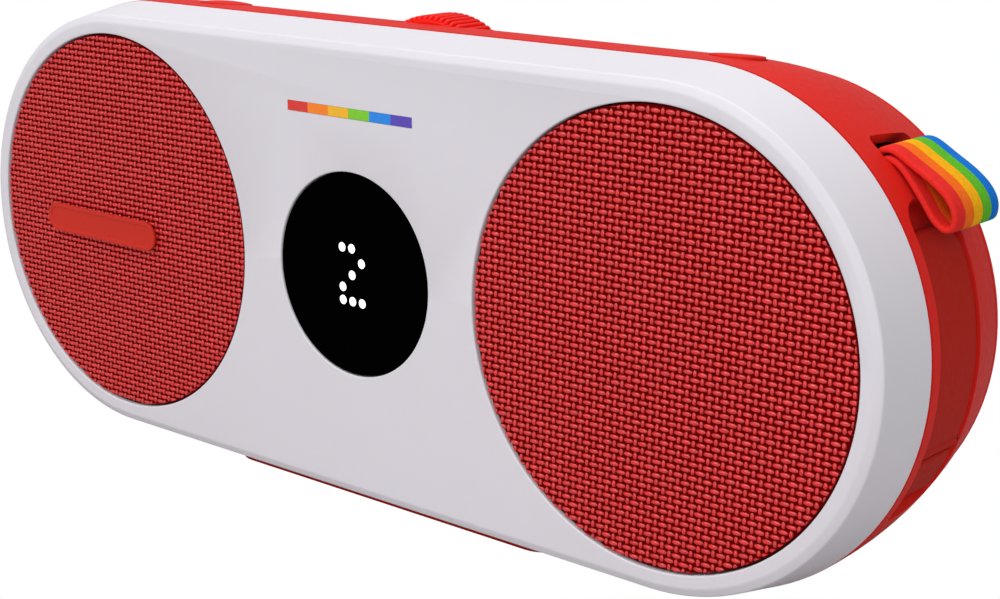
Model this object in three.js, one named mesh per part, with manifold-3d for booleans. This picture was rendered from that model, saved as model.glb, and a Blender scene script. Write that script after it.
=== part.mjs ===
// A portable party speaker: a white front moulding with two round grilles and a dot display, a red
// housing with a volume dial, two buttons, a carry loop and a covered socket bay, and the drivers,
// battery cells and boards inside.
//
// Millimetres, +Z up, +X towards the carry loop, the front faces -Y. The origin is under the middle
// of the foot. Pieces are modelled about the axis of the two round ends, with y counted back from
// the front face, and one group moves them to the origin.
import * as THREE from 'three';
import { mergeVertices } from 'three/addons/utils/BufferGeometryUtils.js';
import Module from 'manifold-3d';

const wasm = await Module();
wasm.setup();

// ---- driving dimensions ----
const GAP = 0.3; // between pieces that meet
const HALF_SPACING = 69.7; // from the middle to the centre of either round end
const BODY_RADIUS = 45.3; // half the height, where the front moulding meets the housing
const DEPTH = 44; // front face to back face
const WALL = 2.4; // moulded walls

// front moulding
const FACE_RADIUS = 41.8; // half the height of the flat front face
const CHAMFER_RADIUS = 43.3;
const CHAMFER_DEPTH = 0.7;
const BEZEL_DEPTH = 11.5;
const BEZEL_SIDE_WALL = 1.6;
const GRILLE_RADIUS = 39.5;
const DISPLAY_RADIUS = 19.5;

// colour strip and badge
const STRIP_LENGTH = 32.4;
const STRIP_HEIGHT = 1.9;
const STRIP_THICKNESS = 0.4;
const STRIP_Z = 30.45;
const BADGE_LENGTH = 36;
const BADGE_HEIGHT = 6;
const BADGE_THICKNESS = 0.6;
const BADGE_OFFSET = 5.5; // outwards from the left grille's centre
const BADGE_DROP = 1.4;

// grilles
const CLOTH_THICKNESS = 0.8;
const CLOTH_EDGE_DROP = 0.3;
const FRAME_RING_WIDTH = 3;
const FRAME_THICKNESS = 3.2;
const FRAME_FLANGE = 1.7; // how far the flange reaches behind the front face
const SPOKE_WIDTH = 2.4;
const SPOKE_LINES = 3;
const HUB_RADIUS = 7;

// display
const WINDOW_RECESS = 0.15;
const WINDOW_LIP = 1.7;
const WINDOW_LIP_THICKNESS = 1.2;
const BOARD_THICKNESS = 1.2;
const DISPLAY_BOARD_WIDTH = 24;
const DISPLAY_BOARD_HEIGHT = 30;
const DOT_PITCH = 2.54;
const DOT_RADIUS = 1;
const DOT_HEIGHT = 1;
const DOT_COLUMNS = 3;
const DOT_ROWS = 5;

// baffle and drivers
const BAFFLE_FRONT = 5;
const BAFFLE_THICKNESS = 2.4;
const BAFFLE_HOLE_RADIUS = 29.5;
const BASKET_RADIUS = 34.8;
const BASKET_FLANGE = 1.7;
const BASKET_DEPTH = 15.1;
const BASKET_SHEET = 1.6;
const MAGNET_RADIUS = 22;
const MAGNET_DEPTH = 13.9;
const COIL_RADIUS = 9.6;
const COIL_SHEET = 0.8;
const CONE_RADIUS = 23.3;
const CONE_SHEET = 0.8;
const CONE_DEPTH = 7.4;
const DRIVER_SCREWS = 4;
const DRIVER_SCREW_RADIUS = 0.9;

// housing and rear cover
const CROWN_START = 12; // where the housing starts to curve in
const CROWN_ROUNDING = 90;
const HOUSING_BACK = 40;
const TONGUE_WALL = 2;
const BACK_FLAT_RADIUS = 32.5;
const POST_X = 40;
const POST_Z = 28;
const POST_RADIUS = 3.6;
const REAR_SCREW_RADIUS = 1.2;
const REAR_SCREW_LENGTH = 12;
const REAR_HEAD_RADIUS = 3;
const REAR_HEAD_HEIGHT = 1.6;

// foot
const FOOT_HALF_LENGTH = 43.3;
const FOOT_FRONT = 6.2;
const FOOT_BACK = 38;
const FOOT_DROP = 1.4; // below the body's lowest line
const FOOT_CORNER = 6;

// volume dial
const DIAL_RADIUS = 18;
const DIAL_FRONT = 21.6;
const DIAL_WIDTH = 8.65;
const DIAL_Z = 28.4;
const DIAL_RIBS = 80;
const RIB_DEPTH = 0.6;
const DIAL_CLEARANCE = 0.4;
const SHAFT_RADIUS = 3;
const CHEEK_THICKNESS = 1.6;
const CHEEK_HALF_WIDTH = 7;

// buttons
const POWER_X = -58;
const POWER_RADIUS = 5.2;
const POWER_DOME = 0.6;
const PLAY_X = 70.5;
const PLAY_RADIUS = 4.6;
const PLAY_DOME = 0.3;
const BUTTON_Y = 21.9;
const BUTTON_FLANGE = 1;
const BUTTON_TRAVEL = 0.8;
const STEM_RADIUS = 2.2;
const STEM_LENGTH = 2.4;
const SWITCH_SIZE = 6;
const SWITCH_HEIGHT = 3;

// socket bay in the right end
const BAY_FRONT = 14;
const BAY_BACK = 30;
const BAY_TOP = 35.4; // degrees round the end, from level
const BAY_BOTTOM = -35;
const BAY_FLOOR_RADIUS = 40.9;
const BAY_WALL = 2.6;
const COVER_THICKNESS = 2;
const COVER_TOP = 29.5;
const COVER_CORNER = 5.5;
const HINGE_ANGLE = -20.6;
const HINGE_PIN_RADIUS = 0.6;
const KNUCKLE_RADIUS = 1.2;
const BAY_CLEARANCE = 0.4;

// sockets and their board
const USB_WIDTH = 9;
const USB_THICKNESS = 3.2;
const USB_SHEET = 0.35;
const USB_Z = -4.8;
const AUX_RADIUS = 3;
const AUX_BORE = 1.8;
const AUX_Z = 5.4;
const SOCKET_Y = 22;
const SOCKET_SETBACK = 1; // socket mouths behind the bay floor
const PORT_BOARD_HALF_HEIGHT = 11.5;
const PORT_BOARD_SETBACK = 3;

// carry loop
const STRAP_WIDTH = 13.8;
const STRAP_THICKNESS = 1.4;
const STRAP_Y = 24.8;
const STRAP_ANGLE = 45.9; // where it enters the housing
const SLOT_SPARE = 2.6; // open part of the slot above the strap
const SLOT_CLEARANCE = 0.4;
const STRAP_PIN_RADIUS = 1.2;
const STRAP_PIN_DEPTH = 7.2; // below the surface
const EAR_THICKNESS = 2;

// battery and main board
const CELL_RADIUS = 9.2;
const CELL_LENGTH = 65;
const CELL_Y = 23;
const CELL_SPACE = 0.6;
const TRAY_WALL = 1.2;
const MAIN_BOARD_HALF_WIDTH = 33;
const MAIN_BOARD_SPACE = 0.7; // behind the battery tray
const MAIN_BOARD_RISE = 5; // above the upper cell's middle
const LEAD_RADIUS = 0.9;
const RIBBON_WIDTH = 4.3;
const RIBBON_THICKNESS = 0.4;

// facets
const SHELL_SIDES = 48;
const DRIVER_SIDES = 20;
const SMALL_SIDES = 8;
const CROWN_STEPS = 4;

// ---- worked-out dimensions ----
const AXIS_HEIGHT = BODY_RADIUS + FOOT_DROP;
const BEZEL_INNER = CHAMFER_RADIUS - BEZEL_SIDE_WALL;
const TONGUE_RADIUS = BEZEL_INNER - GAP;
const FRAME_FRONT = WALL + GAP - FRAME_THICKNESS + FRAME_FLANGE;
const CLOTH_BACK = FRAME_FRONT - GAP;
const CLOTH_FRONT = CLOTH_BACK - CLOTH_THICKNESS;
const FRAME_BACK = FRAME_FRONT + FRAME_THICKNESS;
const WINDOW_BACK = WALL + GAP + WINDOW_LIP_THICKNESS;
const BAFFLE_BACK = BAFFLE_FRONT + BAFFLE_THICKNESS;
const BASKET_FRONT = BAFFLE_BACK + GAP;
const BASKET_BACK = BASKET_FRONT + BASKET_DEPTH;
const HOUSING_FRONT = BEZEL_DEPTH + GAP;
const COVER_INNER_RADIUS = BAY_FLOOR_RADIUS + BAY_CLEARANCE;
const COVER_OUTER_RADIUS = COVER_INNER_RADIUS + COVER_THICKNESS;
const HINGE_RADIUS = BAY_FLOOR_RADIUS + GAP + KNUCKLE_RADIUS;
const REAR_FRONT = HOUSING_BACK + GAP;
const DIAL_BACK = DIAL_FRONT + DIAL_WIDTH;
const BADGE_FRONT = CLOTH_FRONT - GAP - BADGE_THICKNESS;

const degrees = THREE.MathUtils.degToRad;

// ---- materials ----
const plastic = (color, roughness) => new THREE.MeshStandardMaterial({ color, roughness, metalness: 0 });
const metal = (color, roughness) => new THREE.MeshStandardMaterial({ color, roughness, metalness: 1 });
const white = () => plastic(0xdedbe0, 0.5);
const red = () => plastic(0xd8332b, 0.45);
const darkRed = () => plastic(0x9c2a22, 0.6);
const cloth = () => plastic(0xb5232b, 0.9);
const black = () => plastic(0x111113, 0.4);
const gloss = () => plastic(0x050506, 0.08);
const board = () => plastic(0x1f4a33, 0.5);
const steel = () => metal(0xb9bcc0, 0.35);
const paper = () => plastic(0x26262a, 0.8);
const softRubber = () => plastic(0x1b1b1d, 0.7);

// ---- shape helpers ----
const MERGE_DISTANCE = 1e-4;

// A closed three.js geometry as a solid that can be joined and cut, with its faces turned outwards.
function solid(geometry) {
  const bare = geometry.clone();
  bare.deleteAttribute('normal');
  bare.deleteAttribute('uv');
  const merged = mergeVertices(bare, MERGE_DISTANCE);
  const corners = merged.index.array;
  const place = merged.attributes.position;
  const [a, b, c] = [new THREE.Vector3(), new THREE.Vector3(), new THREE.Vector3()];
  const triangles = [];
  let volume = 0;
  for (let at = 0; at < corners.length; at += 3) {
    const [i, j, k] = corners.slice(at, at + 3);
    if (i === j || j === k || k === i) continue;
    triangles.push([i, j, k]);
    a.fromBufferAttribute(place, i);
    b.fromBufferAttribute(place, j);
    c.fromBufferAttribute(place, k);
    volume += a.dot(b.cross(c));
  }
  const outward = volume > 0 ? triangles : triangles.map(([i, j, k]) => [i, k, j]);
  return new wasm.Manifold(new wasm.Mesh({
    numProp: 3,
    vertProperties: new Float32Array(place.array),
    triVerts: new Uint32Array(outward.flat()),
  }));
}

function piece(name, body, material) {
  const { vertProperties, triVerts } = body.getMesh();
  const geometry = new THREE.BufferGeometry();
  geometry.setAttribute('position', new THREE.BufferAttribute(vertProperties, 3));
  geometry.setIndex(new THREE.BufferAttribute(triVerts, 1));
  geometry.computeVertexNormals();
  const mesh = new THREE.Mesh(geometry, material);
  mesh.name = name;
  return mesh;
}

// A profile of [radius, y] points turned about an axis along Y.
function turned(profile, sides, x = 0, z = 0) {
  const points = profile.map(([radius, y]) => new THREE.Vector2(radius, y));
  return solid(new THREE.LatheGeometry(points, sides).translate(x, 0, z));
}

const turnedRing = (profile, sides, x, z) => turned([...profile, profile[0]], sides, x, z);

const disc = (radius, front, back, sides, x, z) =>
  turned([[0, front], [radius, front], [radius, back], [0, back]], sides, x, z);

const ring = (inner, outer, front, back, sides, x, z) =>
  turnedRing([[inner, front], [outer, front], [outer, back], [inner, back]], sides, x, z);

function box(x0, x1, y0, y1, z0, z1) {
  const geometry = new THREE.BoxGeometry(x1 - x0, y1 - y0, z1 - z0);
  return solid(geometry.translate((x0 + x1) / 2, (y0 + y1) / 2, (z0 + z1) / 2));
}

const outline = (points) => new THREE.Shape(points.map(([u, v]) => new THREE.Vector2(u, v)));

// A shape drawn in x and z, carried from y = front to y = back.
function alongY(shape, front, back, curveSegments = SMALL_SIDES) {
  const options = { depth: back - front, bevelEnabled: false, curveSegments };
  const geometry = new THREE.ExtrudeGeometry(shape, options);
  return solid(geometry.rotateX(Math.PI / 2).translate(0, back, 0));
}

// A shape drawn in y and z, carried from x = from to x = to.
function alongX(shape, from, to) {
  const geometry = new THREE.ExtrudeGeometry(shape, { depth: to - from, bevelEnabled: false });
  const [x, y, z] = [new THREE.Vector3(1, 0, 0), new THREE.Vector3(0, 1, 0), new THREE.Vector3(0, 0, 1)];
  geometry.applyMatrix4(new THREE.Matrix4().makeBasis(y, z, x));
  return solid(geometry.translate(from, 0, 0));
}

// The body's form: a profile of [radius, y] points carried round a track with two round ends.
function track(profile) {
  const [front, back] = [profile[0][1], profile.at(-1)[1]];
  const closed = [[0, front], ...profile, [0, back]];
  const upper = profile.map(([radius, y]) => [y, radius]);
  const lower = profile.map(([radius, y]) => [y, -radius]).reverse();
  return alongX(outline([...upper, ...lower]), -HALF_SPACING, HALF_SPACING)
    .add(turned(closed, SHELL_SIDES, -HALF_SPACING))
    .add(turned(closed, SHELL_SIDES, HALF_SPACING));
}

// A round-ended bar, centred on x and z.
function capsule(length, height, x, z) {
  const end = height / 2;
  const reach = length / 2 - end;
  const shape = new THREE.Shape();
  shape.absarc(x + reach, z, end, -Math.PI / 2, Math.PI / 2);
  shape.absarc(x - reach, z, end, Math.PI / 2, 3 * Math.PI / 2);
  return shape;
}

// Part of a ring about the right end's centre, between two angles from level.
function endSector(inner, outer, from, to) {
  const shape = new THREE.Shape();
  shape.absarc(HALF_SPACING, 0, outer, degrees(from), degrees(to), false);
  shape.absarc(HALF_SPACING, 0, inner, degrees(to), degrees(from), true);
  return shape;
}

function endPoint(radius, angle) {
  return [HALF_SPACING + radius * Math.cos(degrees(angle)), radius * Math.sin(degrees(angle))];
}

function bezelRadius(y) {
  const share = (y - CHAMFER_DEPTH) / (BEZEL_DEPTH - CHAMFER_DEPTH);
  return CHAMFER_RADIUS + (BODY_RADIUS - CHAMFER_RADIUS) * share;
}

const crownRadius = (y) => BODY_RADIUS - Math.max(0, y - CROWN_START) ** 2 / (2 * CROWN_ROUNDING);

function crown(offset, from, to) {
  const steps = Array.from({ length: CROWN_STEPS + 1 }, (_, i) => from + (to - from) * i / CROWN_STEPS);
  return steps.map((y) => [crownRadius(y) + offset, y]);
}

// A pan-head screw put in from behind, with its head's face towards +Y.
function screw(x, z, seat, headRadius, headHeight, shankRadius, shankLength) {
  const tip = seat - shankLength;
  return turned([
    [0, tip], [shankRadius / 2, tip], [shankRadius, tip + shankRadius], [shankRadius, seat],
    [headRadius, seat], [headRadius, seat + headHeight / 2], [headRadius * 0.7, seat + headHeight],
    [0, seat + headHeight],
  ], SMALL_SIDES, x, z);
}

const CUT = 1; // how far a cutter reaches past what it cuts
const sides = [['left', -1], ['right', 1]];

// ---- front ----
function frontBezel() {
  let body = track([[FACE_RADIUS, 0], [CHAMFER_RADIUS, CHAMFER_DEPTH], [BODY_RADIUS, BEZEL_DEPTH]]);
  body = body.subtract(track([[BEZEL_INNER, WALL], [BEZEL_INNER, BEZEL_DEPTH + CUT]]));
  for (const [, side] of sides) {
    body = body.subtract(disc(GRILLE_RADIUS, -CUT, WALL + CUT, SHELL_SIDES, side * HALF_SPACING));
  }
  body = body.subtract(disc(DISPLAY_RADIUS, -CUT, WALL + CUT, SHELL_SIDES));
  const reach = STRIP_LENGTH / 2 + GAP;
  const half = STRIP_HEIGHT / 2 + GAP;
  return body.subtract(box(-reach, reach, -CUT, STRIP_THICKNESS + GAP, STRIP_Z - half, STRIP_Z + half));
}

function colourStrip() {
  const half = STRIP_HEIGHT / 2;
  return box(-STRIP_LENGTH / 2, STRIP_LENGTH / 2, 0, STRIP_THICKNESS, STRIP_Z - half, STRIP_Z + half);
}

function badge() {
  const shape = capsule(BADGE_LENGTH, BADGE_HEIGHT, -HALF_SPACING - BADGE_OFFSET, -BADGE_DROP);
  return alongY(shape, BADGE_FRONT, CLOTH_FRONT - GAP);
}

function grilleCloth(side) {
  const edge = GRILLE_RADIUS - GAP;
  return turned([
    [0, CLOTH_FRONT], [edge - 3 * CLOTH_EDGE_DROP, CLOTH_FRONT + CLOTH_EDGE_DROP / 6],
    [edge, CLOTH_FRONT + CLOTH_EDGE_DROP], [edge, CLOTH_BACK], [0, CLOTH_BACK],
  ], SHELL_SIDES, side * HALF_SPACING);
}

function grilleFrame(side) {
  const x = side * HALF_SPACING;
  const outer = GRILLE_RADIUS - GAP;
  const inner = outer - FRAME_RING_WIDTH;
  const flange = Math.min(GRILLE_RADIUS + FRAME_FLANGE, TONGUE_RADIUS);
  const seat = WALL + GAP;
  let body = ring(inner, outer, FRAME_FRONT, FRAME_BACK, SHELL_SIDES, x)
    .add(ring(inner, flange, seat, FRAME_BACK, SHELL_SIDES, x))
    .add(disc(HUB_RADIUS, FRAME_FRONT, FRAME_BACK, DRIVER_SIDES, x));
  for (let i = 0; i < SPOKE_LINES; i += 1) {
    const spoke = new THREE.BoxGeometry(inner + outer, FRAME_THICKNESS, SPOKE_WIDTH);
    spoke.rotateY(Math.PI * i / SPOKE_LINES).translate(x, (FRAME_FRONT + FRAME_BACK) / 2, 0);
    body = body.add(solid(spoke));
  }
  return body;
}

function displayWindow() {
  const face = DISPLAY_RADIUS - GAP;
  const lip = DISPLAY_RADIUS + WINDOW_LIP;
  return turned([
    [0, WINDOW_RECESS], [face, WINDOW_RECESS], [face, WALL + GAP], [lip, WALL + GAP],
    [lip, WINDOW_BACK], [0, WINDOW_BACK],
  ], SHELL_SIDES);
}

const DISPLAY_BOARD_FRONT = WINDOW_BACK + GAP + DOT_HEIGHT;

function displayBoard() {
  const [width, height] = [DISPLAY_BOARD_WIDTH / 2, DISPLAY_BOARD_HEIGHT / 2];
  const front = DISPLAY_BOARD_FRONT;
  let body = box(-width, width, front, front + BOARD_THICKNESS, -height, height);
  for (let column = 0; column < DOT_COLUMNS; column += 1) {
    for (let row = 0; row < DOT_ROWS; row += 1) {
      const x = (column - (DOT_COLUMNS - 1) / 2) * DOT_PITCH;
      const z = (row - (DOT_ROWS - 1) / 2) * DOT_PITCH;
      body = body.add(disc(DOT_RADIUS, front - DOT_HEIGHT, front + GAP, SMALL_SIDES / 2, x, z));
    }
  }
  return body;
}

// ---- baffle and drivers ----
const DRIVER_SCREW_CIRCLE = BAFFLE_HOLE_RADIUS + BASKET_SHEET + 2 * DRIVER_SCREW_RADIUS;

function driverScrewPlaces(side) {
  return Array.from({ length: DRIVER_SCREWS }, (_, i) => {
    const angle = Math.PI * (2 * i + 1) / DRIVER_SCREWS;
    const x = side * HALF_SPACING + DRIVER_SCREW_CIRCLE * Math.cos(angle);
    return [x, DRIVER_SCREW_CIRCLE * Math.sin(angle)];
  });
}

function baffle() {
  let body = track([[TONGUE_RADIUS, BAFFLE_FRONT], [TONGUE_RADIUS, BAFFLE_BACK]]);
  const [front, back] = [BAFFLE_FRONT - CUT, BAFFLE_BACK + CUT];
  body = body.subtract(disc(DISPLAY_RADIUS + WINDOW_LIP + CUT, front, back, DRIVER_SIDES));
  for (const [, side] of sides) {
    body = body.subtract(disc(BAFFLE_HOLE_RADIUS, front, back, DRIVER_SIDES, side * HALF_SPACING));
    for (const [x, z] of driverScrewPlaces(side)) {
      body = body.subtract(disc(DRIVER_SCREW_RADIUS + GAP, front, back, SMALL_SIDES, x, z));
    }
  }
  return body;
}

function driverBasket(side) {
  const x = side * HALF_SPACING;
  const [front, back] = [BASKET_FRONT, BASKET_BACK];
  const mouth = BAFFLE_HOLE_RADIUS - GAP;
  const seat = MAGNET_RADIUS + BASKET_SHEET / 2;
  let body = turnedRing([
    [mouth, front], [BASKET_RADIUS, front], [BASKET_RADIUS, front + BASKET_FLANGE],
    [mouth + BASKET_SHEET, front + BASKET_FLANGE], [seat, back - BASKET_SHEET], [seat, back],
    [COIL_RADIUS + 3, back], [COIL_RADIUS + 3, back - BASKET_SHEET],
    [seat - BASKET_SHEET, back - BASKET_SHEET], [mouth, front + BASKET_FLANGE - GAP],
  ], DRIVER_SIDES, x);
  const windowHeight = BASKET_DEPTH / 2;
  for (let i = 0; i < SPOKE_LINES; i += 1) {
    const opening = new THREE.BoxGeometry(3 * BASKET_RADIUS, windowHeight, MAGNET_RADIUS / 2);
    opening.rotateY(Math.PI * (i + 0.5) / SPOKE_LINES);
    body = body.subtract(solid(opening.translate(x, front + 0.55 * BASKET_DEPTH, 0)));
  }
  for (const [hx, hz] of driverScrewPlaces(side)) {
    const hole = disc(DRIVER_SCREW_RADIUS + GAP, front - CUT, front + BASKET_FLANGE + CUT, SMALL_SIDES, hx, hz);
    body = body.subtract(hole);
  }
  return body;
}

// The half-round roll between the cone's rim and the basket.
function driverSurround(side) {
  const sheet = 0.6;
  const inner = CONE_RADIUS + GAP;
  const outer = BAFFLE_HOLE_RADIUS - 2 * GAP;
  const middle = (inner + outer) / 2;
  const reach = (outer - inner) / 2;
  const level = BASKET_FRONT + BASKET_FLANGE - GAP;
  const steps = 4;
  const arc = (radius) => Array.from({ length: steps + 1 }, (_, i) => {
    const angle = Math.PI * i / steps;
    return [middle - radius * Math.cos(angle), level - radius * Math.sin(angle)];
  });
  return turnedRing([...arc(reach), ...arc(reach - sheet).reverse()], DRIVER_SIDES, side * HALF_SPACING);
}

function driverCone(side) {
  const rim = BASKET_FRONT + BASKET_FLANGE / 2;
  const neck = rim + CONE_DEPTH;
  const cap = COIL_RADIUS - COIL_SHEET;
  const capRise = 2.4;
  const coilEnd = BASKET_BACK + 2.4;
  return turned([
    [0, neck - capRise - CONE_SHEET], [cap * 0.6, neck - capRise], [cap, neck - CONE_SHEET],
    [CONE_RADIUS - CONE_SHEET, rim], [CONE_RADIUS, rim], [CONE_RADIUS, rim + CONE_SHEET],
    [COIL_RADIUS, neck + CONE_SHEET], [COIL_RADIUS, coilEnd], [cap, coilEnd], [cap, neck + CONE_SHEET],
    [cap * 0.6, neck - capRise + CONE_SHEET], [0, neck - capRise],
  ], DRIVER_SIDES, side * HALF_SPACING);
}

function driverMagnet(side) {
  const front = BASKET_BACK + GAP;
  const back = front + MAGNET_DEPTH;
  const gapDepth = 8;
  const play = 2 * GAP;
  const [pole, hole] = [COIL_RADIUS - COIL_SHEET - play, COIL_RADIUS + play];
  return turned([
    [0, front], [pole, front], [pole, front + gapDepth], [hole, front + gapDepth], [hole, front],
    [MAGNET_RADIUS, front], [MAGNET_RADIUS, back], [0, back],
  ], DRIVER_SIDES, side * HALF_SPACING);
}

// ---- housing ----
const BUTTON_TILT = -Math.atan((BUTTON_Y - CROWN_START) / CROWN_ROUNDING);

// Puts a solid made about a button's own origin, with z along its normal, on the crown.
function onCrown(geometry, x) {
  return geometry.rotateX(BUTTON_TILT).translate(x, BUTTON_Y, crownRadius(BUTTON_Y));
}

function crownCylinder(radius, low, high, x, segments) {
  const geometry = new THREE.CylinderGeometry(radius, radius, high - low, segments);
  return solid(onCrown(geometry.rotateX(Math.PI / 2).translate(0, 0, (low + high) / 2), x));
}

function crownBox(size, low, high, x) {
  const geometry = new THREE.BoxGeometry(size, size, high - low);
  return solid(onCrown(geometry.translate(0, 0, (low + high) / 2), x));
}

// A box on the strap's line into the housing: u runs across the strap, r out from the end's centre.
function strapBox(uFrom, uTo, front, back, rFrom, rTo) {
  const geometry = new THREE.BoxGeometry(rTo - rFrom, back - front, uTo - uFrom);
  geometry.translate((rFrom + rTo) / 2, (front + back) / 2, (uFrom + uTo) / 2);
  return solid(geometry.rotateY(-degrees(STRAP_ANGLE)).translate(HALF_SPACING, 0, 0));
}

const STRAP_SURFACE = crownRadius(STRAP_Y);
const STRAP_PIN_PLACE = endPoint(STRAP_SURFACE - STRAP_PIN_DEPTH, STRAP_ANGLE);
const STRAP_FRONT = STRAP_Y - STRAP_WIDTH / 2;
const STRAP_BACK = STRAP_Y + STRAP_WIDTH / 2;
const HINGE_PLACE = endPoint(HINGE_RADIUS, HINGE_ANGLE);

const rearScrewPlaces = [
  ['upper_left', -POST_X, POST_Z], ['upper_right', POST_X, POST_Z],
  ['lower_left', -POST_X, -POST_Z], ['lower_right', POST_X, -POST_Z],
];

function screwPost(x, z) {
  const front = CROWN_START + WALL;
  const wall = crownRadius(HOUSING_BACK) - WALL / 2;
  const web = WALL / 2;
  const [low, high] = z > 0 ? [z, wall] : [-wall, z];
  return disc(POST_RADIUS, front, HOUSING_BACK, SMALL_SIDES, x, z)
    .add(box(x - web, x + web, front, REAR_FRONT - TONGUE_WALL - GAP, low, high));
}

function mainHousing() {
  const form = track([[TONGUE_RADIUS, BASKET_FRONT], [TONGUE_RADIUS, HOUSING_FRONT],
    ...crown(0, HOUSING_FRONT, HOUSING_BACK)]);
  let body = form.subtract(track([[TONGUE_RADIUS - TONGUE_WALL, BASKET_FRONT - CUT],
    [TONGUE_RADIUS - TONGUE_WALL, HOUSING_FRONT], ...crown(-WALL, HOUSING_FRONT + WALL / 2, HOUSING_BACK + CUT)]));

  // screw posts with their pilot holes
  for (const [, x, z] of rearScrewPlaces) {
    const hole = disc(REAR_SCREW_RADIUS + GAP, HOUSING_BACK - REAR_SCREW_LENGTH, HOUSING_BACK + CUT,
      SMALL_SIDES, x, z);
    body = body.add(screwPost(x, z)).subtract(hole);
  }

  // socket bay: a tub inside the right end, the recess, and the window to the sockets
  const tub = endSector(BAY_FLOOR_RADIUS - BAY_WALL, BODY_RADIUS, BAY_BOTTOM - 4, BAY_TOP + 4);
  body = body.add(alongY(tub, BAY_FRONT - WALL, BAY_BACK + WALL, 2 * SMALL_SIDES).intersect(form));
  const recess = endSector(BAY_FLOOR_RADIUS, BODY_RADIUS + 2 * CUT, BAY_BOTTOM, BAY_TOP);
  body = body.subtract(alongY(recess, BAY_FRONT, BAY_BACK, 2 * SMALL_SIDES));
  const [mouth, reach] = [USB_THICKNESS / 2 + 2 * GAP, AUX_RADIUS + 2 * GAP];
  const slot = Math.max(mouth, reach);
  body = body.subtract(box(HALF_SPACING + MAGNET_RADIUS, HALF_SPACING + BODY_RADIUS,
    SOCKET_Y - slot, SOCKET_Y + slot, USB_Z - USB_WIDTH / 2 - 2 * GAP, AUX_Z + reach));
  body = body.subtract(disc(HINGE_PIN_RADIUS + GAP, BAY_FRONT - 1.5, BAY_BACK + 1.5,
    SMALL_SIDES, ...HINGE_PLACE));

  // strap slot, and the two ears that hold the strap's pin
  const half = STRAP_THICKNESS;
  const pinLevel = STRAP_SURFACE - STRAP_PIN_DEPTH;
  const ear = 2 * STRAP_PIN_RADIUS + GAP;
  for (const front of [STRAP_FRONT - SLOT_CLEARANCE - GAP - EAR_THICKNESS, STRAP_BACK + SLOT_CLEARANCE + GAP]) {
    body = body.add(strapBox(-ear, ear, front, front + EAR_THICKNESS, pinLevel - ear, STRAP_SURFACE - WALL / 2));
  }
  body = body.subtract(disc(STRAP_PIN_RADIUS + GAP, STRAP_FRONT - EAR_THICKNESS - 2 * CUT,
    STRAP_BACK + EAR_THICKNESS + 2 * CUT, SMALL_SIDES, ...STRAP_PIN_PLACE));
  body = body.subtract(strapBox(-half - SLOT_CLEARANCE, half + SLOT_SPARE, STRAP_FRONT - SLOT_CLEARANCE,
    STRAP_BACK + SLOT_CLEARANCE, pinLevel, BODY_RADIUS + CUT));

  // dial slot and button holes
  body = body.subtract(disc(DIAL_RADIUS + DIAL_CLEARANCE, DIAL_FRONT - DIAL_CLEARANCE,
    DIAL_BACK + DIAL_CLEARANCE, SHELL_SIDES, 0, DIAL_Z));
  for (const [x, radius] of [[POWER_X, POWER_RADIUS], [PLAY_X, PLAY_RADIUS]]) {
    body = body.subtract(crownCylinder(radius + GAP, -2 * WALL, 2 * WALL, x, DRIVER_SIDES));
  }
  return body;
}

function rearCover() {
  const edge = crownRadius(HOUSING_BACK);
  const tongue = crownRadius(HOUSING_BACK) - WALL - GAP;
  const tongueInner = tongue - TONGUE_WALL + GAP;
  const [wide, deep] = [edge - BACK_FLAT_RADIUS, DEPTH - REAR_FRONT];
  const steps = 4;
  const rounding = Array.from({ length: steps + 1 }, (_, i) => {
    const angle = Math.PI / 2 * i / steps;
    return [BACK_FLAT_RADIUS + wide * Math.cos(angle), REAR_FRONT + deep * Math.sin(angle)];
  });
  const inside = DEPTH - WALL;
  let body = track([[tongue, REAR_FRONT - TONGUE_WALL], [tongue, REAR_FRONT], ...rounding]);
  body = body.subtract(track([[tongueInner, REAR_FRONT - TONGUE_WALL - CUT],
    [tongueInner, REAR_FRONT + GAP], [BACK_FLAT_RADIUS, inside]]));
  for (const [, x, z] of rearScrewPlaces) {
    body = body.add(disc(POST_RADIUS, REAR_FRONT, inside + GAP, SMALL_SIDES, x, z));
    body = body.subtract(disc(REAR_SCREW_RADIUS + GAP, REAR_FRONT - CUT, DEPTH + CUT, SMALL_SIDES, x, z));
    body = body.subtract(disc(REAR_HEAD_RADIUS + GAP, REAR_SEAT - GAP, DEPTH + CUT, 2 * SMALL_SIDES, x, z));
  }
  return body;
}

const REAR_SEAT = DEPTH - REAR_HEAD_HEIGHT - GAP;

// A long pad that follows the body's underside and stands on a flat face.
function foot() {
  const under = [[-bezelRadius(FOOT_FRONT) - GAP, FOOT_FRONT], ...crown(GAP, BEZEL_DEPTH, FOOT_BACK)
    .map(([radius, y]) => [-radius, y])].map(([z, y]) => [y, z]);
  const profile = [...under, [FOOT_BACK, -AXIS_HEIGHT], [FOOT_FRONT, -AXIS_HEIGHT]];
  const plan = new THREE.Shape();
  const [reach, corner] = [FOOT_HALF_LENGTH - FOOT_CORNER, FOOT_CORNER];
  plan.absarc(reach, FOOT_BACK - corner, corner, 0, Math.PI / 2);
  plan.absarc(-reach, FOOT_BACK - corner, corner, Math.PI / 2, Math.PI);
  plan.absarc(-reach, FOOT_FRONT + corner, corner, Math.PI, 3 * Math.PI / 2);
  plan.absarc(reach, FOOT_FRONT + corner, corner, 3 * Math.PI / 2, 2 * Math.PI);
  const options = { depth: BODY_RADIUS, bevelEnabled: false, curveSegments: SMALL_SIDES / 2 };
  const column = solid(new THREE.ExtrudeGeometry(plan, options).translate(0, 0, -AXIS_HEIGHT - CUT));
  return alongX(outline(profile), -FOOT_HALF_LENGTH - CUT, FOOT_HALF_LENGTH + CUT).intersect(column);
}

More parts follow.
